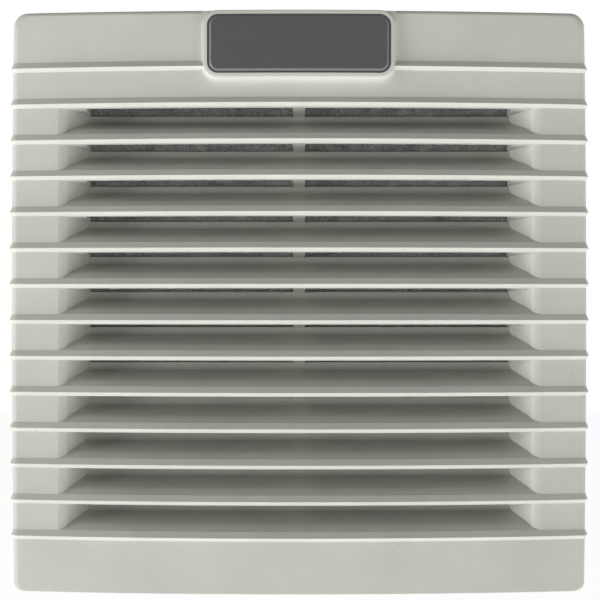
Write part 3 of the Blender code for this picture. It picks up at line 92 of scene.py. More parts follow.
# Working allowances: BITE is the overlap of joined shapes, CUT_OVER the overrun of a tool.
# CORNERS are the signs of a square's corners, in order.
BITE = 0.0005
CUT_OVER = 0.001
WELD = 0.000001
SHARP_ANGLE = math.radians(22)
FLAT_ANGLE = math.radians(0.2)
NORMAL_WEIGHT = 80
SOFT_EDGE = 0.00018
SOFT_SEGMENTS = 2
SOFT_ANGLE = math.radians(40)
LEAST_RADIUS = 0.0002
CORNERS = ((1, 1), (-1, 1), (-1, -1), (1, -1))

# Front cover, with depths counted back from the crown of the fins
COVER_HALF_WIDTH = 0.1013
COVER_HALF_HEIGHT = 0.1016
COVER_PROTRUSION = 0.024
COVER_WALL = 0.0022
COVER_RIM_Y = -0.0048
SIDE_EDGE_RADIUS = 0.0024
TOP_EDGE_RADIUS = 0.0016
BOTTOM_EDGE_RADIUS = 0.0002
SIDE_DRAFT = 0.0002
TOP_DRAFT = 0.0003
TOP_CORNER_RADIUS = 0.005
BOTTOM_CORNER_RADIUS = 0.0026
CROWN_RISE = 0.0064
CROWN_HALF_SPAN = 0.102
CROWN_STATIONS = 22
CROWN_FLAT_ANGLE = math.radians(0.1)
SIDE_BOW = 0.0008

# Fins and blades
FIN_COUNT = 14
FIN_PITCH = 0.0126
FIN_DEPTH = 0.0015
FIN_SIDE_DEPTH = 0.00095
FIN_RISE = 0.0021
FIN_DROP = 0.0013
FIN_TAIL_RISE = 0.0008
FIN_NOSE_RADIUS = 0.00022
FIRST_SLOT_FIN = 2
BLADE_DEPTH = 0.0175
BLADE_TOP_RISE = 0.0100
BLADE_BOTTOM_RISE = 0.0084
BLADE_LIP_DEPTH = 0.0012
BLADE_LIP_RISE = 0.0024
BLADE_LIP_RADIUS = 0.0030
BLADE_LIP_LEAN = 0.6
BLADE_ROOT_DEPTH = 0.0048
BLADE_ROOT_RISE = 0.0040
BLADE_ROOT_RADIUS = 0.0120
NOSE_DEPTH = 0.0032
NOSE_FILLET = 0.0008
CORE_TOP_MARGIN = 0.0010
CORE_BOTTOM_MARGIN = 0.0030

# Slot ends and centre rib
SLOT_FACE_HALF = 0.0824
SLOT_THROAT_HALF = 0.0752
SLOT_CEILING_FALL = 0.0011
SLOT_PASSAGE_STEP = 0.0004
SLOT_MOUTH_OVER = 0.003
SLOT_END_WALL = 0.0022
SLOT_EDGE_WIDTH = 0.0022
SLOT_EDGE_DEPTH = 0.0005
SLOT_EDGE_FILLET = 0.0044
CENTRE_RIB_WIDTH = 0.004
CENTRE_RIB_FLARE = 0.0003
CENTRE_RIB_SEAT = 0.0010

# Badge bezel and its plate
BADGE_WIDTH = 0.0624
BADGE_HEIGHT = 0.0191
BADGE_THICKNESS = 0.0012
BADGE_CENTRE_Z = 0.08965
BADGE_CORNER_RADIUS = 0.0031
BADGE_SET_BACK = -0.0003
BADGE_GAP = 0.0007
BADGE_BEVEL_WIDTH = 0.0007
BADGE_BEVEL_DEPTH = 0.0006
# The skirt is a dark ledge low in the groove round the plate, which stands in for the groove's
# shade.
BADGE_SHADE_SKIRT = 0.0006
BADGE_SHADE_SKIRT_DEPTH = 0.0007
BEZEL_RIM = 0.0012
BEZEL_TOP_INSET = 0.0003
BEZEL_PROUD = 0.0003
BEZEL_EDGE = 0.0003
BEZEL_FACE_STEP = 0.0001
BEZEL_FOOT_ROUNDING = 0.6
# Each step of the foot: share of the rise, growth of the outline, further drop of its low side
BEZEL_COVE = (
    (1.00, 0.0000, 0.0000),
    (0.92, 0.0001, 0.0001),
    (0.66, 0.0002, 0.0005),
    (0.42, 0.0003, 0.0010),
    (0.22, 0.0005, 0.0015),
    (0.10, 0.0008, 0.0021),
    (0.05, 0.0012, 0.0029),
    (0.02, 0.0017, 0.0040),
    (0.00, 0.0024, 0.0052),
    (-0.30, 0.0025, 0.0053),
)

# Cover hinge and catches
FLANGE_FRONT = -0.0045
HINGE_Y = -0.0110
HINGE_Z = -0.0968
HINGE_PIN_RADIUS = 0.0010
HINGE_OFFSET_X = 0.062
HINGE_FIT = 0.0003
LUG_WIDTH = 0.008
EAR_THICKNESS = 0.003
EAR_REACH = 0.0026
CATCH_OFFSET_X = 0.060
CATCH_WIDTH = 0.010
CATCH_PAD_LOW = 0.0967
CATCH_PAD_Y = (-0.0100, -0.0060)
RIM_RELIEF_OVER = 0.002

# Places and slopes that follow from the cover's sizes
FRONT_FACE_Y = FIN_DEPTH - COVER_PROTRUSION
TOP_FIN_Z = FIN_PITCH * (FIN_COUNT - 1) / 2
SLOPE_BOTTOM = (BLADE_BOTTOM_RISE + FIN_DROP) / (BLADE_DEPTH - NOSE_DEPTH)

# Filter mat and seal
MAT_HALF = 0.0847
MAT_GAP = 0.0003
MAT_THICKNESS = 0.0150
MAT_FRONT = BLADE_DEPTH - COVER_PROTRUSION + MAT_GAP
MAT_REAR = MAT_FRONT + MAT_THICKNESS
MAT_CELLS = 110
MAT_SEED = 7
MAT_SINK = 0.0003
MAT_ROUGHNESS = 0.0007
MAT_NOISE_SCALE = 220
MAT_NOISE = (1.0, 2.0, 4)
MAT_EDGE_SINK = 0.0010
MAT_EDGE_START = 0.975
MAT_EDGE_WIDTH = 0.025
FIBRE_COUNT = 5200
FIBRE_POINTS = 6
FIBRE_STEP = (0.0012, 0.0028)
FIBRE_DEPTH = (0.0002, 0.0011)
FIBRE_RADIUS = (0.00004, 0.00009)
FIBRE_CREST = 1.4
FIBRE_BEND = 0.5
FIBRE_WAVE = 1.3
FIBRE_MARGIN = 0.001
FIBRE_COVER = 0.00014
SEAL_OUTER_HALF = 0.0991
SEAL_WIDTH = 0.0085
SEAL_CORNER_RADIUS = 0.004
SEAL_FRONT = -0.0017
SEAL_REAR = 0.0
SEAL_STEPS = 20
SEAL_FULLNESS = 6.0
SEAL_SHARP_ANGLE = math.radians(60)

# Fan wheel
WHEEL_FRONT = 0.0477
WHEEL_LENGTH = 0.0265
WHEEL_BORE = 0.0273
WHEEL_HUB = 0.0305
WHEEL_WALL = 0.0022
WHEEL_EDGE = 0.0020
WHEEL_EDGE_STEPS = 8
WHEEL_REAR_EDGE = 0.0003
WHEEL_GROOVES = (0.0240, 0.0090)
GROOVE_HALF = 0.0006
GROOVE_FLOOR_HALF = 0.0003
GROOVE_DEPTH = 0.0005
WHEEL_BLADES = 7
WHEEL_ROOT = WHEEL_HUB - BITE
WHEEL_TIP = 0.0558
WHEEL_AXIAL = 0.0220
WHEEL_SWEEP = math.radians(40)
WHEEL_LEAN = math.radians(-14)
WHEEL_CAMBER = math.radians(5)
WHEEL_BLADE_THICKNESS = 0.0018
WHEEL_FULLNESS = (1.12, 0.35)
WHEEL_CHORD_STEPS = 20
WHEEL_SPAN_STEPS = 12
WHEEL_NUDGE = 0.01
WHEEL_SHARP_ANGLE = math.radians(32)

# Guard and screws
WIRE_RADIUS = 0.0008
WIRE_SEGMENTS = 12
GUARD_RINGS = 5
GUARD_INNER = 0.0160
GUARD_OUTER = 0.0570
EYE_RADIUS = 0.0034
EYE_SEGMENTS = 48
SPOKE_Y = 0.0824
SPOKE_TAPER = 0.0004
SPOKE_END_SHARES = (0.55, 0.9)
RING_Y = 0.0836
SCREW_COUNT = 4
SCREW_OFFSET = 0.0524
SCREW_SEAT_GAP = 0.0003
SCREW_HEAD = 0.0038
SCREW_EDGE = 0.0002
SCREW_CROWN = 0.0027
SCREW_DOME = 0.75
SCREW_DOME_STEPS = 8
SCREW_HEAD_HEIGHT = 0.0026
SCREW_SHANK = 0.0020
SCREW_LENGTH = 0.0500
SCREW_THREAD = 0.0160
SCREW_PITCH = 0.0008
SCREW_THREAD_DEPTH = 0.0004
SCREW_TIP = ((0.0005, 0.0002), (0.0009, 0.0))
SCREW_SEGMENTS = 48
SCREW_SHARP_ANGLE = math.radians(35)
RECESS_REACH = SCREW_HEAD * 0.55
RECESS_WIDTH = 0.0009
RECESS_DEPTH = 0.0014
RECESS_OVER = 0.0002
RECESS_FOOT = 0.35
RECESS_CORE = 0.6

# Steps of the rounded forms
EDGE_STEPS = 14
CORNER_STEPS = 5
PANEL_STEPS = 8
BORE_SEGMENTS = 32

# Materials
NOISE = "ShaderNodeTexNoise"
CELLS = "ShaderNodeTexVoronoi"
TINT_STOPS = (0.3, 0.7)
DUST_SIZE_STOPS = (0.02, 0.10)
DUST_CHOICE_STOPS = (0.955, 0.975)
DUST_STRENGTH = 0.6
DUST_SHADE = 0.35
PLASTIC_SPECULAR = 0.4
# Painted highlight: how fast the badge lacquer turns paler on its sloping edges.
PAINTED_HIGHLIGHT_GAIN = 4.0
METAL_SHEEN = (0.8, 1.3)


# Mesh helpers
def placed(name, data):
    """A new object in the scene for a mesh, a lamp or a camera."""
    item = bpy.data.objects.new(name, data)
    bpy.context.scene.collection.objects.link(item)
    return item


def mesh_object(name, bm):
    """An object from a bmesh, with its faces turned outward."""
    bmesh.ops.remove_doubles(bm, verts=bm.verts, dist=WELD)
    bmesh.ops.recalc_face_normals(bm, faces=bm.faces)
    mesh = bpy.data.meshes.new(name)
    bm.to_mesh(mesh)
    bm.free()
    return placed(name, mesh)


def joined(name, items):
    """One object that holds several separate shapes."""
    bm = bmesh.new()
    for item in items:
        bm.from_mesh(item.data)
        bpy.data.objects.remove(item, do_unlink=True)
    return mesh_object(name, bm)


def boolean(item, tool, operation):
    """Cut, join or intersect an object with a tool, at once, and drop the tool."""
    modifier = item.modifiers.new(tool.name, "BOOLEAN")
    modifier.operation = operation
    modifier.solver = "EXACT"
    modifier.object = tool
    bpy.context.view_layer.update()
    depsgraph = bpy.context.evaluated_depsgraph_get()
    made = bpy.data.meshes.new_from_object(item.evaluated_get(depsgraph))
    item.modifiers.clear()
    item.data = made
    bpy.data.objects.remove(tool, do_unlink=True)
    return item


def cut(item, tool):
    """Take a tool's shape away."""
    return boolean(item, tool, "DIFFERENCE")


def join(item, tool):
    """Add a tool's shape."""
    return boolean(item, tool, "UNION")


def on_axis(axis, across, up, along):
    """A point from two coordinates of an outline and one along its axis."""
    if axis == "X":
        return (along, across, up)
    if axis == "Y":
        return (across, along, up)
    return (across, up, along)


def circle(count):
    """The cosine and sine of evenly spaced angles all round."""
    angles = [2 * math.pi * step / count for step in range(count)]
    return [(math.cos(angle), math.sin(angle)) for angle in angles]


def quarter(steps):
    """The cosine and sine of the angles from 0 to 90 degrees."""
    angles = [math.radians(90 * step / steps) for step in range(steps + 1)]
    return [(math.cos(angle), math.sin(angle)) for angle in angles]


def skin(bm, loops):
    """Faces from each loop of vertices to the next. A loop may be one vertex, repeated."""
    for near, far in zip(loops, loops[1:]):
        for index in range(len(near)):
            after = (index + 1) % len(near)
            corners = (near[index], near[after], far[after], far[index])
            bm.faces.new(list(dict.fromkeys(corners)))


def loft(name, rings):
    """A closed solid through rings of equal point count."""
    bm = bmesh.new()
    loops = [[bm.verts.new(point) for point in ring] for ring in rings]
    skin(bm, loops)
    bm.faces.new(loops[0])
    bm.faces.new(loops[-1])
    return mesh_object(name, bm)


def prism(name, outline, low, high, axis):
    """A flat outline given its thickness along an axis."""
    rings = [[on_axis(axis, across, up, place) for across, up in outline] for place in (low, high)]
    return loft(name, rings)


def box(name, low, high):
    """A box between two corners."""
    outline = [(low[0], low[1]), (high[0], low[1]), (high[0], high[1]), (low[0], high[1])]
    return prism(name, outline, low[2], high[2], "Z")


def filleted(corners, steps=CORNER_STEPS):
    """A closed outline whose corners, given as (across, up, radius), are rounded."""
    points = []
    count = len(corners)
    for index, (across, up, radius) in enumerate(corners):
        here = Vector((across, up))
        if radius <= 0:
            points.append((across, up))
            continue
        back = (Vector(corners[index - 1][:2]) - here).normalized()
        on = (Vector(corners[(index + 1) % count][:2]) - here).normalized()
        half_angle = back.angle(on) / 2
        start = here + back * radius / math.tan(half_angle)
        centre = here + (back + on).normalized() * radius / math.sin(half_angle)
        arm = start - centre
        end_arm = here + on * radius / math.tan(half_angle) - centre
        sweep = arm.angle_signed(end_arm)
        for step in range(steps + 1):
            turned = Matrix.Rotation(-sweep * step / steps, 2) @ arm
            points.append(tuple(centre + turned))
    return points


def panel(half_width, top, low, top_radius, low_radius):
    """The outline of an upright panel with rounded corners."""
    corners = [
        (half_width, top, top_radius),
        (-half_width, top, top_radius),
        (-half_width, low, low_radius),
        (half_width, low, low_radius),
    ]
    return filleted(corners, PANEL_STEPS)


def smooth(item, angle=SHARP_ANGLE):
    """Smooth shading with sharp creases, and broad faces kept flat."""
    item.data.shade_smooth()
    item.data.set_sharp_from_angle(angle=angle)
    weighted = item.modifiers.new("even_normals", "WEIGHTED_NORMAL")
    weighted.keep_sharp = True
    weighted.weight = NORMAL_WEIGHT
    return item


def dress(item, slot_name, node):
    """Give a finished piece its material, and the body and place of the node it stands for."""
    body = frame["nodes"][node].parent.name.removeprefix("body:")
    item.data.materials.clear()
    item.data.materials.append(SURFACES[slot_name])
    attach(item, body)
    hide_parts(node)


def softened(node, slot_name):
    """A CAD piece with its flat faces made whole and its hard edges slightly rounded."""
    bm = bmesh.new()
    bm.from_mesh(frame["nodes"][node].data)
    bmesh.ops.remove_doubles(bm, verts=bm.verts, dist=WELD)
    bmesh.ops.dissolve_limit(bm, angle_limit=FLAT_ANGLE, verts=bm.verts, edges=bm.edges)
    item = mesh_object(f"{node}_finished", bm)
    bevel = item.modifiers.new("edges", "BEVEL")
    bevel.width = SOFT_EDGE
    bevel.segments = SOFT_SEGMENTS
    bevel.limit_method = "ANGLE"
    bevel.angle_limit = SOFT_ANGLE
    bevel.miter_outer = "MITER_ARC"
    smooth(item, SOFT_ANGLE)
    dress(item, slot_name, node)


# Front cover
def at_depth(depth):
    """The place along Y of a depth behind the crown."""
    return depth - COVER_PROTRUSION


def fin_level(index):
    """The height of a fin's front edge, counted from the top fin."""
    return TOP_FIN_Z - index * FIN_PITCH


def half_height_at(place):
    """Half the cover's height where its walls pass a place along Y."""
    share = (place - FRONT_FACE_Y) / (COVER_RIM_Y - FRONT_FACE_Y)
    return COVER_HALF_HEIGHT + TOP_DRAFT * share


def edge_inset(radius, depth):
    """How far a rounded front edge draws an outline in, at a depth behind the front face."""
    short = radius - min(depth, radius)
    return radius - math.sqrt(radius**2 - short**2)


def shell_ring(place, wall=0.0, rounded=False):
    """The outline of the cover's drafted form at a place along Y."""
    depth = place - FRONT_FACE_Y
    share = depth / (COVER_RIM_Y - FRONT_FACE_Y)
    radii = (SIDE_EDGE_RADIUS, TOP_EDGE_RADIUS, BOTTOM_EDGE_RADIUS)
    side, top, bottom = [edge_inset(radius, depth) if rounded else 0.0 for radius in radii]
    half_width = COVER_HALF_WIDTH + SIDE_DRAFT * share - wall - side
    half_height = half_height_at(place) - wall
    corners = (TOP_CORNER_RADIUS, BOTTOM_CORNER_RADIUS)
    radii = [max(radius - wall, LEAST_RADIUS) for radius in corners]
    outline = panel(half_width, half_height - top, bottom - half_height, *radii)
    return [(across, place, up) for across, up in outline]


def cover_shell():
    """The outer form with its rounded front edges, and its hollow."""
    rings = [shell_ring(COVER_RIM_Y)]
    for _, rise in quarter(EDGE_STEPS):
        place = FRONT_FACE_Y + SIDE_EDGE_RADIUS * (1 - rise)
        rings.append(shell_ring(place, rounded=True))
    shell = loft("louvre_cover", rings)
    hollow = [
        shell_ring(FRONT_FACE_Y + COVER_WALL, COVER_WALL),
        shell_ring(COVER_RIM_Y + CUT_OVER, COVER_WALL),
    ]
    return cut(shell, loft("hollow", hollow))


def fin_path():
    """The line a fin follows round the cover: across, along Y, the way it faces, and its lift."""
    right = [(COVER_HALF_WIDTH, COVER_RIM_Y - BITE, 1.0, 0.0, FIN_TAIL_RISE)]
    for side, rise in quarter(EDGE_STEPS):
        across = COVER_HALF_WIDTH - SIDE_EDGE_RADIUS * (1 - side)
        along = FRONT_FACE_Y + SIDE_EDGE_RADIUS * (1 - rise)
        right.append((across, along, side, -rise, 0.0))
    left = [(-across, along, -side, front, lift) for across, along, side, front, lift in right]
    return left + right[::-1]


def fin(index):
    """One fin: a ridge with a rounded nose, along the front and back along both sides."""
    level = fin_level(index)
    section = filleted([
        (0, FIN_RISE, 0),
        (FIN_DEPTH, 0, FIN_NOSE_RADIUS),
        (0, -FIN_DROP, 0),
        (-BITE, -FIN_DROP + BITE / 2, 0),
        (-BITE, FIN_RISE - BITE / 2, 0),
    ])
    rings = []
    for across, along, side, front, lift in fin_path():
        ring = []
        for proud, height in section:
            share = 1 - (1 - FIN_SIDE_DEPTH / FIN_DEPTH) * side**2
            reach = proud * share if proud > 0 else proud
            ring.append((across + side * reach, along + front * reach, level + height + lift))
        rings.append(ring)
    return loft(f"fin_{index}", rings)


def underside(depth, level):
    """The height of a blade's underside at a depth, where its fin is at a level."""
    return level - FIN_DROP + SLOPE_BOTTOM * (depth - NOSE_DEPTH)


def core_block():
    """The block behind the front wall that the slots are cut from, with slanted ends."""
    face_half = SLOT_FACE_HALF + SLOT_END_WALL
    throat_half = SLOT_THROAT_HALF + SLOT_END_WALL
    front = at_depth(FIN_DEPTH) + BITE
    throat = at_depth(BLADE_DEPTH)
    right = [(face_half, front), (throat_half, throat)]
    outline = right + [(-half, place) for half, place in right[::-1]]
    low = fin_level(FIN_COUNT - 1) - CORE_BOTTOM_MARGIN
    high = fin_level(FIRST_SLOT_FIN - 1) + CORE_TOP_MARGIN
    return prism("blade_core", outline, low, high, "Z")


def blade_top_line():
    """The upper side of a blade, from the fin's rear over a curved root to its rear lip."""
    past = BLADE_DEPTH + CUT_OVER
    lip_start = BLADE_DEPTH - BLADE_LIP_DEPTH
    return [
        (FIN_DEPTH - CUT_OVER, FIN_RISE, 0),
        (FIN_DEPTH, FIN_RISE, 0),
        (BLADE_ROOT_DEPTH, BLADE_ROOT_RISE, BLADE_ROOT_RADIUS),
        (lip_start, BLADE_TOP_RISE - BLADE_LIP_RISE, BLADE_LIP_RADIUS),
        (lip_start + BLADE_LIP_DEPTH * BLADE_LIP_LEAN, BLADE_TOP_RISE, LEAST_RADIUS),
        (past, BLADE_TOP_RISE, 0),
    ]


def at_slots(name, outline, half):
    """An outline of depths and heights, carried across at every slot."""
    shapes = []
    for index in range(FIRST_SLOT_FIN, FIN_COUNT):
        level = fin_level(index)
        points = [(at_depth(depth), up + level) for depth, up in outline]
        shapes.append(prism(f"{name}_{index}", points, -half, half, "X"))
    return joined(name, shapes)


def slot_passages():
    """The rising passages between neighbouring blades."""
    past = BLADE_DEPTH + CUT_OVER
    outline = filleted(blade_top_line() + [
        (past, underside(past, FIN_PITCH), 0),
        (NOSE_DEPTH, FIN_PITCH - FIN_DROP, NOSE_FILLET),
        (FIN_DEPTH - CUT_OVER, FIN_PITCH - FIN_DROP, 0),
    ])
    return at_slots("slot_passages", outline, SLOT_THROAT_HALF - SLOT_PASSAGE_STEP)


def slot_mouths():
    """The wide mouths of the slots, with a slightly falling ceiling and slanted, rounded ends."""
    past = BLADE_DEPTH + CUT_OVER
    outline = filleted(blade_top_line() + [
        (past, FIN_PITCH - FIN_DROP - SLOT_CEILING_FALL, 0),
        (FIN_DEPTH - CUT_OVER, FIN_PITCH - FIN_DROP, 0),
    ])
    mouths = at_slots("slot_mouths", outline, SLOT_FACE_HALF + SLOT_MOUTH_OVER)
    ends = []
    edge = SLOT_FACE_HALF + SLOT_EDGE_WIDTH
    slant = (SLOT_FACE_HALF - SLOT_THROAT_HALF) / (BLADE_DEPTH - FIN_DEPTH - SLOT_EDGE_DEPTH)
    narrowing = slant * (past + CUT_OVER - BLADE_DEPTH)
    for side in (1, -1):
        ends += [
            (side * edge, at_depth(FIN_DEPTH - CUT_OVER), 0),
            (side * edge, at_depth(FIN_DEPTH), 0),
            (side * SLOT_FACE_HALF, at_depth(FIN_DEPTH + SLOT_EDGE_DEPTH), SLOT_EDGE_FILLET),
            (side * (SLOT_THROAT_HALF - narrowing), at_depth(past + CUT_OVER), 0),
        ]
    plan = filleted(ends[:4] + ends[:3:-1])
    reach = COVER_HALF_HEIGHT + CUT_OVER
    tool = prism("slot_ends", plan, -reach, reach, "Z")
    return boolean(mouths, tool, "INTERSECT")


def lowest_blade_relief():
    """The room under the lowest blade, behind the front wall."""
    level = fin_level(FIN_COUNT - 1)
    start = FIN_DEPTH + COVER_WALL
    past = BLADE_DEPTH + CUT_OVER
    low = level - CORE_BOTTOM_MARGIN - CUT_OVER
    outline = [
        (at_depth(start), low),
        (at_depth(past), low),
        (at_depth(past), underside(past, level)),
        (at_depth(start), underside(start, level)),
    ]
    half = SLOT_FACE_HALF + SLOT_END_WALL + CUT_OVER
    return prism("lowest_blade_relief", outline, -half, half, "X")


def centre_rib():
    """The webs on the centre line, each from a blade's nose back to the lip of the blade below."""
    rear = BLADE_DEPTH - BITE
    seat = BLADE_DEPTH - CENTRE_RIB_SEAT
    outline = [
        (NOSE_DEPTH - BITE, FIN_PITCH - FIN_DROP + BITE, CENTRE_RIB_FLARE),
        (seat, BLADE_TOP_RISE - BITE / 2, 0.0),
        (rear, BLADE_TOP_RISE - BITE, 0.0),
        (rear, underside(rear, FIN_PITCH) + BITE, 0.0),
    ]
    webs = []
    for index in range(FIRST_SLOT_FIN, FIN_COUNT):
        rings = []
        for side in (-1, 1):
            ring = []
            for depth, up, flare in outline:
                across = side * (CENTRE_RIB_WIDTH / 2 + flare)
                ring.append((across, at_depth(depth), fin_level(index) + up))
            rings.append(ring)
        webs.append(loft(f"web_{index}", rings))
    return boolean(joined("centre_rib", webs), core_block(), "INTERSECT")


def badge_outline(grow, drop=0.0):
    """The badge's rounded outline grown all round, with its lower side dropped further."""
    top = BADGE_CENTRE_Z + BADGE_HEIGHT / 2 + grow
    low = BADGE_CENTRE_Z - BADGE_HEIGHT / 2 - grow - drop
    radius = BADGE_CORNER_RADIUS + grow
    return panel(BADGE_WIDTH / 2 + grow, top, low, radius, radius + drop * BEZEL_FOOT_ROUNDING)


def badge_bezel():
    """The raised panel round the badge, with rounded edges and a coved, sloping foot."""
    grow = BADGE_GAP + BEZEL_RIM
    top = COVER_HALF_HEIGHT - BEZEL_TOP_INSET
    rise = FIN_DEPTH + BEZEL_PROUD
    face = at_depth(-BEZEL_PROUD)
    outline = badge_outline(grow - BEZEL_EDGE)
    rings = [[(across, face, min(up, top - BEZEL_EDGE)) for across, up in outline]]
    for share, flank, drop in BEZEL_COVE:
        place = at_depth(FIN_DEPTH - rise * share) + (BEZEL_FACE_STEP if share == 1 else 0)
        outline = badge_outline(grow + flank, drop)
        rings.append([(across, place, min(up, top)) for across, up in outline])
    return loft("badge_bezel", rings)


def badge_pocket():
    """The pocket that the badge sits in."""
    mouth = at_depth(-BEZEL_PROUD - CUT_OVER)
    floor = at_depth(BADGE_SET_BACK - BEZEL_PROUD) + BADGE_THICKNESS + BADGE_GAP
    return prism("badge_pocket", badge_outline(BADGE_GAP), mouth, floor, "Y")


def crown(item):
    """Crown a flat front in plan, and bow its sides a little."""
    bm = bmesh.new()
    bm.from_mesh(item.data)
    bmesh.ops.dissolve_limit(bm, angle_limit=CROWN_FLAT_ANGLE, verts=bm.verts, edges=bm.edges)
    for station in range(-CROWN_STATIONS, CROWN_STATIONS + 1):
        across = station * CROWN_HALF_SPAN / (CROWN_STATIONS + 1)
        everything = bm.verts[:] + bm.edges[:] + bm.faces[:]
        bmesh.ops.bisect_plane(bm, geom=everything, plane_co=(across, 0, 0), plane_no=(1, 0, 0))
    side_start = SLOT_FACE_HALF + SLOT_END_WALL
    for vert in bm.verts:
        across, along, up = vert.co
        depth_share = 1 - (along + COVER_PROTRUSION) / BLADE_DEPTH
        side_share = (abs(across) - side_start) / (COVER_HALF_WIDTH - side_start)
        vert.co.y += CROWN_RISE * (across / CROWN_HALF_SPAN) ** 2 * max(depth_share, 0)
        bow = SIDE_BOW * (up / COVER_HALF_HEIGHT) ** 2 * max(side_share, 0)
        vert.co.x -= math.copysign(bow, across)
    bmesh.ops.triangulate(bm, faces=[face for face in bm.faces if len(face.verts) > 4])
    bm.to_mesh(item.data)
    bm.free()
    return item


def hinge_and_catch_blocks():
    """The ears' blocks at the lower edge and the pads at the upper edge."""
    ear_half = LUG_WIDTH / 2 + HINGE_FIT + EAR_THICKNESS
    foot = -half_height_at(HINGE_Y) + COVER_WALL / 2
    head = half_height_at(CATCH_PAD_Y[1]) - COVER_WALL / 2
    blocks = []
    for side in (-1, 1):
        place = side * HINGE_OFFSET_X
        blocks.append(box(
            "ear", (place - ear_half, HINGE_Y - EAR_REACH, foot),
            (place + ear_half, HINGE_Y + EAR_REACH, HINGE_Z + EAR_REACH),
        ))
        place = side * CATCH_OFFSET_X
        blocks.append(box(
            "pad", (place - CATCH_WIDTH / 2, CATCH_PAD_Y[0], CATCH_PAD_LOW),
            (place + CATCH_WIDTH / 2, CATCH_PAD_Y[1], head),
        ))
    return joined("ears_and_pads", blocks)


def lug_notches():
    """The notches for the frame's lugs, and the bores for the pins."""
    half = LUG_WIDTH / 2 + HINGE_FIT
    reach = EAR_REACH + HINGE_FIT
    low_z = -half_height_at(COVER_RIM_Y) - CUT_OVER
    reach_x = half + EAR_THICKNESS + CUT_OVER
    radius = HINGE_PIN_RADIUS + HINGE_FIT
    bore = [(HINGE_Y + radius * out, HINGE_Z + radius * up) for out, up in circle(BORE_SEGMENTS)]
    tools = []
    for side in (-1, 1):
        place = side * HINGE_OFFSET_X
        tools.append(box(
            "notch", (place - half, HINGE_Y - reach, low_z),
            (place + half, COVER_RIM_Y + CUT_OVER, HINGE_Z + EAR_REACH + CUT_OVER),
        ))
        tools.append(prism("bore", bore, place - reach_x, place + reach_x, "X"))
    return tools


def rim_relief():
    """The sloped relief of the lower rear edge, which swings past the flange."""
    half_height = half_height_at(COVER_RIM_Y)
    drop = half_height + HINGE_Z
    reach = FLANGE_FRONT - HINGE_FIT - HINGE_Y
    lift = reach - math.sqrt(reach**2 - drop**2)
    slope = lift / drop
    low = -half_height - CUT_OVER
    outline = [
        (COVER_RIM_Y, HINGE_Z),
        (COVER_RIM_Y + CUT_OVER, HINGE_Z),
        (COVER_RIM_Y + CUT_OVER, low),
        (COVER_RIM_Y - slope * (HINGE_Z - low), low),
    ]
    half = CROWN_HALF_SPAN + RIM_RELIEF_OVER
    return prism("rim_relief", outline, -half, half, "X")


def louvre_cover():
    """The whole louvred cover."""
    core = cut(core_block(), lowest_blade_relief())
    cut(core, slot_passages())
    cover = join(cover_shell(), core)
    cut(cover, slot_mouths())
    for index in range(FIN_COUNT):
        join(cover, fin(index))
    join(cover, centre_rib())
    join(cover, badge_bezel())
    cut(cover, badge_pocket())
    crown(cover)
    join(cover, hinge_and_catch_blocks())
    for tool in lug_notches():
        cut(cover, tool)
    cut(cover, rim_relief())
    smooth(cover)
    dress(cover, "cover_plastic", "front_cover")


def badge_plate():
    """The bare plate, with a bevel round its face, and behind it a wider dark skirt that stands in
    for the groove's shade.
    """
    face = at_depth(BADGE_SET_BACK - BEZEL_PROUD)
    steps = [
        # The first two steps are the dark skirt in the groove, which stands in for the groove's
        # shade.
        (BADGE_SHADE_SKIRT, BADGE_THICKNESS),
        (BADGE_SHADE_SKIRT, BADGE_SHADE_SKIRT_DEPTH),
        (0, BADGE_SHADE_SKIRT_DEPTH),
        (0, BADGE_BEVEL_DEPTH),
        (-BADGE_BEVEL_WIDTH, 0),
    ]
    rings = []
    for grow, depth in steps:
        rings.append([(across, face + depth, up) for across, up in badge_outline(grow)])
    plate = crown(loft("bare_badge", rings))
    smooth(plate)
    dress(plate, "badge_plastic", "badge_plate")


# Filter mat and seal
def fibre(stream, surface_y, inward):
    """The line of one loose fibre that wanders in the skin of the mat."""
    reach = MAT_HALF - FIBRE_MARGIN
    place = Vector((stream.uniform(-reach, reach), surface_y, stream.uniform(-reach, reach)))
    heading = stream.uniform(0, 2 * math.pi)
    bend = stream.uniform(-FIBRE_BEND, FIBRE_BEND)
    step = stream.uniform(*FIBRE_STEP)
    depth = stream.uniform(*FIBRE_DEPTH)
    phase = stream.uniform(0, 2 * math.pi)
    line = []
    for index in range(FIBRE_POINTS):
        dip = depth * (0.5 - 0.5 * math.cos(phase + index * FIBRE_WAVE))
        line.append(Vector((place.x, surface_y + inward * dip, place.z)))
        heading += bend
        place += Vector((math.cos(heading), 0, math.sin(heading))) * step
        place.x = min(max(place.x, -reach), reach)
        place.z = min(max(place.z, -reach), reach)
    return line


def fibres(points, faces, stream, surface_y, inward, count):
    """Thin three-sided strands along many loose fibres."""
    for _ in range(count):
        line = fibre(stream, surface_y, inward)
        radius = stream.uniform(*FIBRE_RADIUS)
        first = len(points)
        for index, centre in enumerate(line):
            before = line[max(index - 1, 0)]
            after = line[min(index + 1, len(line) - 1)]
            along = (after - before).normalized()
            side = along.cross(Vector((0, 1, 0))).normalized() * radius
            crest = Vector((0, -inward * radius * FIBRE_CREST, 0))
            points += [centre + side, centre - side, centre + crest]
        for index in range(len(line) - 1):
            base = first + index * 3
            for corner in range(3):
                after = (corner + 1) % 3
                faces.append((base + corner, base + after, base + 3 + after, base + 3 + corner))


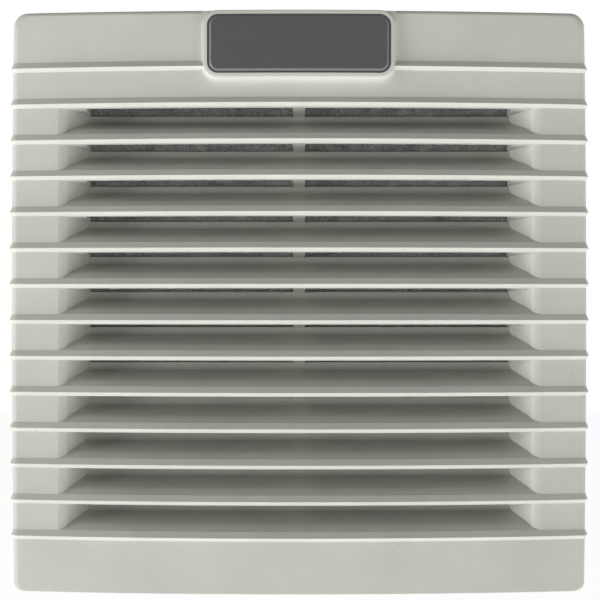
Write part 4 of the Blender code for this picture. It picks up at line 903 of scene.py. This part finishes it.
def mat_skin(points, faces):
    """The mat's closed body: uneven, softly sunk faces and pulled-in edges."""
    cells = MAT_CELLS
    lines = []
    for side, surface_y in ((-1, MAT_FRONT), (1, MAT_REAR)):
        grid = []
        for row in range(cells + 1):
            for column in range(cells + 1):
                across = (2 * column / cells - 1) * MAT_HALF
                up = (2 * row / cells - 1) * MAT_HALF
                rim = max(abs(across), abs(up)) / MAT_HALF
                edge = MAT_EDGE_SINK * max(0.0, (rim - MAT_EDGE_START) / MAT_EDGE_WIDTH) ** 2
                place = Vector((across, surface_y, up)) * MAT_NOISE_SCALE
                rough = 0.5 + 0.5 * noise.fractal(place, *MAT_NOISE)
                sink = MAT_SINK + MAT_ROUGHNESS * min(max(rough, 0.0), 1.0) + edge
                grid.append(len(points))
                points.append(Vector((across, surface_y - side * sink, up)))
        for row in range(cells):
            for column in range(cells):
                low = row * (cells + 1) + column
                high = low + cells + 1
                faces.append((grid[low], grid[low + 1], grid[high + 1], grid[high]))
        lines.append(grid)
    front, rear = lines
    border = list(range(cells))
    border += [cells + row * (cells + 1) for row in range(cells)]
    border += [(cells + 1) ** 2 - 1 - column for column in range(cells)]
    border += [(cells - row) * (cells + 1) for row in range(cells)]
    for index, corner in enumerate(border):
        after = border[(index + 1) % len(border)]
        faces.append((front[corner], front[after], rear[after], rear[corner]))


def fibre_mat():
    """The filter mat, a felted pad with loose fibres over both faces."""
    stream = random.Random(MAT_SEED)
    points, faces = [], []
    mat_skin(points, faces)
    fibres(points, faces, stream, MAT_FRONT + FIBRE_COVER, 1, FIBRE_COUNT)
    fibres(points, faces, stream, MAT_REAR - FIBRE_COVER, -1, FIBRE_COUNT // 2)
    mesh = bpy.data.meshes.new("fibre_mat")
    mesh.from_pydata([tuple(point) for point in points], [], faces)
    mesh.shade_smooth()
    item = placed("fibre_mat", mesh)
    bm = bmesh.new()
    bm.from_mesh(mesh)
    bmesh.ops.recalc_face_normals(bm, faces=bm.faces)
    bm.to_mesh(mesh)
    bm.free()
    dress(item, "filter_fibre", "filter_mat")


def foam_seal():
    """The foam ring, with softly rounded edges."""
    bm = bmesh.new()
    middle = (SEAL_FRONT + SEAL_REAR) / 2
    half_depth = (SEAL_REAR - SEAL_FRONT) / 2
    loops = []
    for out, back in circle(SEAL_STEPS):
        share = (abs(out) ** SEAL_FULLNESS + abs(back) ** SEAL_FULLNESS) ** (-1 / SEAL_FULLNESS)
        half = SEAL_OUTER_HALF - SEAL_WIDTH / 2 + SEAL_WIDTH / 2 * share * out
        radius = SEAL_CORNER_RADIUS + half - SEAL_OUTER_HALF + SEAL_WIDTH
        place = middle + half_depth * share * back
        outline = panel(half, half, -half, radius, radius)
        loops.append([bm.verts.new((across, place, up)) for across, up in outline])
    skin(bm, loops + loops[:1])
    item = mesh_object("foam_seal", bm)
    smooth(item, SEAL_SHARP_ANGLE)
    dress(item, "seal_foam", "door_seal")


# Fan wheel, guard and screws
def turned(name, profile, segments=96):
    """A profile of radii and places along Y, turned about the fan's axis."""
    bm = bmesh.new()
    loops = []
    for radius, place in profile:
        if radius == 0:
            loops.append([bm.verts.new((0, place, 0))] * segments)
            continue
        loop = [(radius * across, place, radius * up) for across, up in circle(segments)]
        loops.append([bm.verts.new(point) for point in loop])
    if profile[0][0] > 0:
        loops.append(loops[0])
    skin(bm, loops)
    return mesh_object(name, bm)


def blade_point(angle, chord, span):
    """A point on a fan blade's mid surface."""
    radius = WHEEL_ROOT + (WHEEL_TIP - WHEEL_ROOT) * span
    turn = angle + WHEEL_SWEEP * chord + WHEEL_LEAN * span + WHEEL_CAMBER * (1 - 4 * chord**2)
    along = WHEEL_FRONT + WHEEL_LENGTH / 2 + WHEEL_AXIAL * chord
    return Vector((radius * math.cos(turn), along, radius * math.sin(turn)))


def fan_blade(index):
    """One twisted blade with a rounded leading edge and a thin trailing edge."""
    angle = 2 * math.pi * index / WHEEL_BLADES
    steps = range(WHEEL_CHORD_STEPS + 1)
    chords = [0.5 * math.sin(math.pi * (step / WHEEL_CHORD_STEPS - 0.5)) for step in steps]
    full, thinning = WHEEL_FULLNESS
    rings = []
    for level in range(WHEEL_SPAN_STEPS + 1):
        span = level / WHEEL_SPAN_STEPS
        upper, lower = [], []
        for chord in chords:
            here = blade_point(angle, chord, span)
            before = blade_point(angle, chord - WHEEL_NUDGE, span)
            after = blade_point(angle, chord + WHEEL_NUDGE, span)
            inner = blade_point(angle, chord, span - WHEEL_NUDGE)
            outer = blade_point(angle, chord, span + WHEEL_NUDGE)
            normal = (after - before).cross(outer - inner).normalized()
            share = math.sqrt(max(1 - (2 * chord) ** 2, 0)) * (full - thinning * chord)
            shift = normal * WHEEL_BLADE_THICKNESS / 2 * min(share, 1.0)
            upper.append(here + shift)
            lower.append(here - shift)
        rings.append(upper + lower[-2:0:-1])
    return loft(f"fan_blade_{index}", rings)


def fan_wheel():
    """The hub with a rounded, ringed front and its blades."""
    rear = WHEEL_FRONT + WHEEL_LENGTH
    inside = WHEEL_FRONT + WHEEL_WALL
    groove = WHEEL_FRONT + GROOVE_DEPTH
    profile = [(0, inside), (WHEEL_BORE, inside), (WHEEL_BORE, rear)]
    profile += [(WHEEL_HUB - WHEEL_REAR_EDGE, rear), (WHEEL_HUB, rear - WHEEL_REAR_EDGE)]
    for out, rise in quarter(WHEEL_EDGE_STEPS):
        place = WHEEL_FRONT + WHEEL_EDGE * (1 - rise)
        profile.append((WHEEL_HUB - WHEEL_EDGE * (1 - out), place))
    for radius in WHEEL_GROOVES:
        profile += [(radius + GROOVE_HALF, WHEEL_FRONT), (radius + GROOVE_FLOOR_HALF, groove)]
        profile += [(radius - GROOVE_FLOOR_HALF, groove), (radius - GROOVE_HALF, WHEEL_FRONT)]
    profile.append((0, WHEEL_FRONT))
    hub = turned("fan_hub", profile)
    wheel = joined("fan_wheel", [hub] + [fan_blade(index) for index in range(WHEEL_BLADES)])
    smooth(wheel, WHEEL_SHARP_ANGLE)
    dress(wheel, "impeller_plastic", "impeller")


def wire_ring(radius, centre, place, segments=120):
    """A closed ring of round wire, square to Y."""
    section = circle(WIRE_SEGMENTS)
    profile = [(radius + WIRE_RADIUS * out, place + WIRE_RADIUS * back) for out, back in section]
    ring = turned("wire_ring", profile, segments)
    ring.data.transform(Matrix.Translation((centre[0], 0, centre[1])))
    return ring


def wire_spoke(angle):
    """A straight wire from the inner ring to a screw's eye, with rounded ends."""
    start = GUARD_INNER - 2 * WIRE_RADIUS
    end = SCREW_OFFSET * math.sqrt(2) - EYE_RADIUS
    near, far = SPOKE_END_SHARES
    steps = ((start, near), (start + SPOKE_TAPER, 1.0), (end - SPOKE_TAPER, 1.0), (end, far))
    section = circle(WIRE_SEGMENTS)
    rings = []
    for place, share in steps:
        radius = WIRE_RADIUS * share
        rings.append([(radius * out, SPOKE_Y + radius * back, place) for out, back in section])
    spoke = loft("wire_spoke", rings)
    spoke.data.transform(Matrix.Rotation(angle, 4, "Y"))
    return spoke


def wire_guard():
    """The welded guard: rings on crossed spokes, with an eye round each screw."""
    step = (GUARD_OUTER - GUARD_INNER) / (GUARD_RINGS - 1)
    wires = [wire_ring(GUARD_INNER + index * step, (0, 0), RING_Y) for index in range(GUARD_RINGS)]
    reach = math.sqrt(2) * SCREW_OFFSET
    for index in range(SCREW_COUNT):
        angle = math.radians(45 + 90 * index)
        wires.append(wire_spoke(angle))
        corner = (reach * math.sin(angle), reach * math.cos(angle))
        wires.append(wire_ring(EYE_RADIUS, corner, SPOKE_Y, EYE_SEGMENTS))
    guard = joined("wire_guard", wires)
    smooth(guard, SOFT_ANGLE)
    dress(guard, "guard_wire", "finger_guard")


def cross_recess(face):
    """The tapered cross that a screwdriver fits, cut into a face at a place along Y."""
    wings = []
    for turn in (0, 90):
        rings = []
        for along, share in ((face - RECESS_DEPTH, RECESS_FOOT), (face + RECESS_OVER, 1.0)):
            half = RECESS_REACH * share
            thick = RECESS_WIDTH / 2 * (RECESS_CORE + (1 - RECESS_CORE) * share)
            rings.append([(side * half, along, level * thick) for side, level in CORNERS])
        wing = loft("wing", rings)
        wing.data.transform(Matrix.Rotation(math.radians(turn), 4, "Y"))
        wings.append(wing)
    return join(wings[0], wings[1])


def fan_screws():
    """The long pan-head screws, with cross recesses and rolled threads."""
    seat = SPOKE_Y + WIRE_RADIUS + SCREW_SEAT_GAP
    top = seat + SCREW_HEAD_HEIGHT
    end = seat - SCREW_LENGTH
    flat = SCREW_CROWN * SCREW_DOME
    profile = [(0, top)]
    for lift, out in quarter(SCREW_DOME_STEPS)[1:]:
        drop = SCREW_HEAD_HEIGHT * SCREW_DOME * (1 - lift)
        profile.append((flat + (SCREW_HEAD - flat) * out, top - drop))
    profile += [(SCREW_HEAD, seat + SCREW_EDGE), (SCREW_HEAD - SCREW_EDGE, seat)]
    profile.append((SCREW_SHANK, seat))
    for turn in range(int(SCREW_THREAD / SCREW_PITCH)):
        along = end + SCREW_THREAD - turn * SCREW_PITCH
        root = SCREW_SHANK - SCREW_THREAD_DEPTH
        profile += [(SCREW_SHANK, along), (root, along - SCREW_PITCH / 2)]
    profile += [(SCREW_SHANK - inset, end + lift) for inset, lift in SCREW_TIP]
    profile.append((0, end))
    for number in range(1, SCREW_COUNT + 1):
        node = f"fan_screw_{number}"
        points = [Vector(point) for point in frame["nodes"][node].bound_box]
        place = frame["nodes"][node].matrix_world @ (sum(points, Vector()) / len(points))
        screw = turned(f"pan_screw_{number}", profile, SCREW_SEGMENTS)
        cut(screw, cross_recess(top))
        screw.data.transform(Matrix.Translation((place.x, 0, place.z)))
        smooth(screw, SCREW_SHARP_ANGLE)
        dress(screw, "zinc_steel", node)


# Materials
def new_material(name, colour, roughness, metallic=0.0):
    """A material with its shader and node tree."""
    surface = bpy.data.materials.new(name)
    surface.use_nodes = True
    tree = surface.node_tree
    shader = tree.nodes["Principled BSDF"]
    shader.inputs["Base Color"].default_value = (*colour, 1)
    shader.inputs["Roughness"].default_value = roughness
    shader.inputs["Metallic"].default_value = metallic
    return surface, tree, shader


def linked(tree, operation, first, second):
    """A math node over two sockets or values."""
    node = tree.nodes.new("ShaderNodeMath")
    node.operation = operation
    for socket, value in zip(node.inputs, (first, second)):
        if isinstance(value, (int, float)):
            socket.default_value = value
        else:
            tree.links.new(value, socket)
    return node.outputs["Value"]


def object_texture(tree, kind, **values):
    """A texture in the piece's own coordinates."""
    coordinates = tree.nodes.new("ShaderNodeTexCoord")
    texture = tree.nodes.new(kind)
    for name, value in values.items():
        texture.inputs[name].default_value = value
    tree.links.new(coordinates.outputs["Object"], texture.inputs["Vector"])
    return texture.outputs


def ramp(tree, source, stops, interpolation="LINEAR"):
    """A colour from a ramp over a value."""
    node = tree.nodes.new("ShaderNodeValToRGB")
    node.color_ramp.interpolation = interpolation
    elements = node.color_ramp.elements
    while len(elements) < len(stops):
        elements.new(0.5)
    for element, (position, colour) in zip(elements, stops):
        element.position = position
        element.color = (*colour, 1)
    tree.links.new(source, node.inputs["Fac"])
    return node.outputs["Color"]


def greys(stops, low, high):
    """Stops of a ramp from one grey to another."""
    return list(zip(stops, ((low, low, low), (high, high, high))))


def scaled(colour, factor):
    """A colour made lighter or darker."""
    return tuple(channel * factor for channel in colour)


def shades(colour, low, high):
    """Stops of a ramp from a darker to a lighter shade of a colour."""
    return list(zip(TINT_STOPS, (scaled(colour, low), scaled(colour, high))))


def overlaid(tree, share, source, colour):
    """A colour that gives way to a plain one by a share."""
    mix = tree.nodes.new("ShaderNodeMix")
    mix.data_type = "RGBA"
    tree.links.new(share, mix.inputs["Factor"])
    tree.links.new(source, mix.inputs["A"])
    mix.inputs["B"].default_value = (*colour, 1)
    return mix.outputs["Result"]


def add_bump(tree, shader, height, strength, distance):
    """A fine bump from a height value."""
    bump = tree.nodes.new("ShaderNodeBump")
    bump.inputs["Strength"].default_value = strength
    bump.inputs["Distance"].default_value = distance
    tree.links.new(height, bump.inputs["Height"])
    tree.links.new(bump.outputs["Normal"], shader.inputs["Normal"])


def textured(tree, shader, value, stops, strength, distance):
    """Colour and a fine bump from the same value."""
    tree.links.new(ramp(tree, value, stops), shader.inputs["Base Color"])
    add_bump(tree, shader, value, strength, distance)


def moulded_plastic(name, colour, roughness=0.5, grain=0.00006, speckle=True):
    """Moulded plastic: a fine eroded grain, faint clouding and a few specks of dust."""
    surface, tree, shader = new_material(name, colour, roughness)
    clouds = object_texture(tree, NOISE, Scale=45, Detail=4.0, Roughness=0.6)["Fac"]
    result = ramp(tree, clouds, shades(colour, 0.965, 1.03), "EASE")
    if speckle:
        cells = object_texture(tree, CELLS, Scale=260)
        near = ramp(tree, cells["Distance"], greys(DUST_SIZE_STOPS, 1, 0))
        pick = tree.nodes.new("ShaderNodeSeparateColor")
        tree.links.new(cells["Color"], pick.inputs["Color"])
        chosen = ramp(tree, pick.outputs["Red"], greys(DUST_CHOICE_STOPS, 0, DUST_STRENGTH))
        dust = linked(tree, "MULTIPLY", near, chosen)
        result = overlaid(tree, dust, result, scaled(colour, DUST_SHADE))
    tree.links.new(result, shader.inputs["Base Color"])
    grains = object_texture(tree, NOISE, Scale=2600, Detail=2.0, Roughness=0.6)["Fac"]
    add_bump(tree, shader, grains, strength=0.35, distance=grain)
    shader.inputs["Specular IOR Level"].default_value = PLASTIC_SPECULAR
    return surface


def lacquer_with_painted_highlight(name, colour, highlight_colour):
    """A dark lacquer with a painted highlight: paler base colour on its sloping edges."""
    surface = moulded_plastic(name, colour, roughness=0.38, grain=0.00002, speckle=False)
    tree = surface.node_tree
    base = tree.nodes["Principled BSDF"].inputs["Base Color"]
    # Painted highlight: the base colour turns paler as the normal turns away from -Y, so the bevel
    # looks lit.
    coordinates = tree.nodes.new("ShaderNodeTexCoord")
    split = tree.nodes.new("ShaderNodeSeparateXYZ")
    tree.links.new(coordinates.outputs["Normal"], split.inputs["Vector"])
    highlight_tilt = linked(tree, "ADD", split.outputs["Y"], 1.0)
    slope = linked(tree, "MULTIPLY", highlight_tilt, PAINTED_HIGHLIGHT_GAIN)
    share = linked(tree, "MINIMUM", slope, 1.0)
    tree.links.new(overlaid(tree, share, base.links[0].from_socket, highlight_colour), base)
    return surface


def filter_fibre(name):
    """A loose fibre mat: tangled streaks of pale and dark fibre."""
    surface, tree, shader = new_material(name, (0.16, 0.165, 0.16), 0.95)
    tangle = object_texture(tree, NOISE, Scale=900, Detail=6.0, Roughness=0.75, Distortion=2.5)
    stops = [
        (0.30, (0.06, 0.07, 0.07)),
        (0.44, (0.26, 0.27, 0.265)),
        (0.58, (0.50, 0.52, 0.51)),
        (0.74, (0.80, 0.82, 0.81)),
    ]
    textured(tree, shader, tangle["Fac"], stops, strength=0.8, distance=0.0006)
    return surface


def seal_foam(name):
    """Closed-cell black foam: fine dark pores."""
    surface, tree, shader = new_material(name, (0.03, 0.03, 0.03), 0.9)
    cells = object_texture(tree, CELLS, Scale=1400)
    stops = [(0.1, (0.010, 0.010, 0.010)), (0.6, (0.040, 0.040, 0.042))]
    textured(tree, shader, cells["Distance"], stops, strength=0.6, distance=0.0002)
    return surface


def worked_metal(name, colour, roughness, scale):
    """Bare or plated metal, with a fine uneven sheen."""
    surface, tree, shader = new_material(name, colour, roughness, metallic=1.0)
    sheen = object_texture(tree, NOISE, Scale=scale, Detail=4.0, Roughness=0.6)["Fac"]
    textured(tree, shader, sheen, shades(colour, 0.85, 1.06), strength=0.2, distance=0.00002)
    rough = tree.nodes.new("ShaderNodeMapRange")
    for socket, factor in zip(("To Min", "To Max"), METAL_SHEEN):
        rough.inputs[socket].default_value = roughness * factor
    tree.links.new(sheen, rough.inputs["Value"])
    tree.links.new(rough.outputs["Result"], shader.inputs["Roughness"])
    return surface


def cast_paint(name, colour):
    """Painted die casting: a coarse, low orange-peel skin."""
    surface, tree, shader = new_material(name, colour, 0.45)
    peel = object_texture(tree, NOISE, Scale=900, Detail=3.0, Roughness=0.55)["Fac"]
    textured(tree, shader, peel, shades(colour, 0.8, 1.25), strength=0.45, distance=0.00012)
    return surface


# Light, floor and camera
def white_to_camera(tree):
    """A value of 1 for the rays that see or mirror the white surroundings."""
    path = tree.nodes.new("ShaderNodeLightPath").outputs
    mirrored = linked(tree, "MAXIMUM", path["Is Glossy Ray"], path["Is Transmission Ray"])
    return linked(tree, "MAXIMUM", path["Is Camera Ray"], mirrored)


def stage_floor():
    """The pale floor, which keeps the part's shadow and throws no light on the part."""
    bm = bmesh.new()
    bmesh.ops.create_grid(bm, x_segments=1, y_segments=1, size=FLOOR_HALF)
    bmesh.ops.translate(bm, vec=(0, 0, FLOOR_Z), verts=bm.verts)
    floor = mesh_object("floor", bm)
    surface, tree, shader = new_material("floor_paper", FLOOR_COLOUR, FLOOR_ROUGHNESS)
    seen = linked(tree, "MULTIPLY", white_to_camera(tree), FLOOR_WHITE)
    shader.inputs["Emission Color"].default_value = WHITE
    tree.links.new(seen, shader.inputs["Emission Strength"])
    floor.data.materials.append(surface)
    floor.visible_shadow = False
    floor.visible_diffuse = False


def area_lamp(name, azimuth, elevation, size, power):
    """A soft square lamp at a set distance, aimed at the part."""
    turn, lift = math.radians(azimuth), math.radians(elevation)
    direction = Vector((
        math.sin(turn) * math.cos(lift), -math.cos(turn) * math.cos(lift), math.sin(lift)
    ))
    light = bpy.data.lights.new(name, "AREA")
    light.shape = "SQUARE"
    light.size = size
    light.energy = power
    lamp = placed(name, light)
    lamp.location = direction * LAMP_DISTANCE
    lamp.rotation_euler = (-direction).to_track_quat("-Z", "Y").to_euler()
    lamp.visible_camera = False


def surroundings():
    """The world: an even light with broad glows from some sides, and plain white to the camera."""
    world = bpy.data.worlds.new("studio")
    bpy.context.scene.world = world
    world.use_nodes = True
    tree = world.node_tree
    tree.nodes.clear()
    coordinates = tree.nodes.new("ShaderNodeTexCoord")
    split = tree.nodes.new("ShaderNodeSeparateXYZ")
    tree.links.new(coordinates.outputs["Generated"], split.inputs["Vector"])
    light = None
    for axis, sign, sharpness, strength in GLOWS:
        facing = linked(tree, "MULTIPLY", split.outputs[axis], sign)
        lobe = linked(tree, "POWER", linked(tree, "MAXIMUM", facing, 0.0), sharpness)
        glow = linked(tree, "MULTIPLY", lobe, strength)
        light = linked(tree, "ADD", glow, GLOW_EVEN if light is None else light)
    seen = white_to_camera(tree)
    background = tree.nodes.new("ShaderNodeBackground")
    output = tree.nodes.new("ShaderNodeOutputWorld")
    tree.links.new(linked(tree, "MAXIMUM", light, seen), background.inputs["Strength"])
    tree.links.new(background.outputs["Background"], output.inputs["Surface"])
    background.inputs["Color"].default_value = WHITE


def studio():
    """The white surroundings, the lamps and the camera."""
    scene = bpy.context.scene
    scene.view_settings.view_transform = "Standard"
    surroundings()
    for lamp in LAMPS:
        area_lamp(*lamp)
    stage_floor()
    camera_data = bpy.data.cameras.new("camera")
    camera_data.lens = CAMERA_LENS
    camera_data.sensor_width = CAMERA_SENSOR
    camera_data.clip_start = CAMERA_CLIP
    camera = placed("camera", camera_data)
    camera.location = CAMERA_PLACE
    camera.rotation_euler = (math.radians(90), 0, 0)
    scene.camera = camera


# Each finish: how it is made, the slot it is for, its colour, and its further values
FINISHES = (
    (moulded_plastic, "cover_plastic", (0.550, 0.560, 0.505)),
    # The badge's second colour is its painted highlight on the sloping edges.
    (lacquer_with_painted_highlight, "badge_plastic", (0.066, 0.069, 0.068), (0.150, 0.155, 0.152)),
    (moulded_plastic, "frame_plastic", (0.530, 0.540, 0.490), 0.55),
    (filter_fibre, "filter_fibre"),
    (seal_foam, "seal_foam"),
    (worked_metal, "zinc_steel", (0.62, 0.63, 0.62), 0.30, 900),
    (worked_metal, "spring_steel", (0.42, 0.43, 0.45), 0.28, 1400),
    (worked_metal, "bearing_steel", (0.60, 0.60, 0.61), 0.16, 2600),
    (worked_metal, "core_steel", (0.20, 0.20, 0.21), 0.42, 1800),
    (worked_metal, "cage_aluminium", (0.66, 0.67, 0.68), 0.38, 700),
    (worked_metal, "copper", (0.72, 0.33, 0.17), 0.34, 2200),
    (cast_paint, "fan_casting", (0.030, 0.031, 0.033)),
    (moulded_plastic, "impeller_plastic", (0.022, 0.022, 0.024), 0.42, 0.00004, False),
    (worked_metal, "guard_wire", (0.66, 0.67, 0.68), 0.24, 1600),
    (moulded_plastic, "terminal_plastic", (0.62, 0.62, 0.56), 0.45, 0.00003, False),
)
SURFACES = {slot_name: make(slot_name, *look) for make, slot_name, *look in FINISHES}

louvre_cover()
badge_plate()
fibre_mat()
foam_seal()
fan_wheel()
wire_guard()
fan_screws()
for part in frame["record"]["subparts"]:
    if not frame["nodes"][part["node"]].hide_render:
        softened(part["node"], part["material_slot"])
studio()
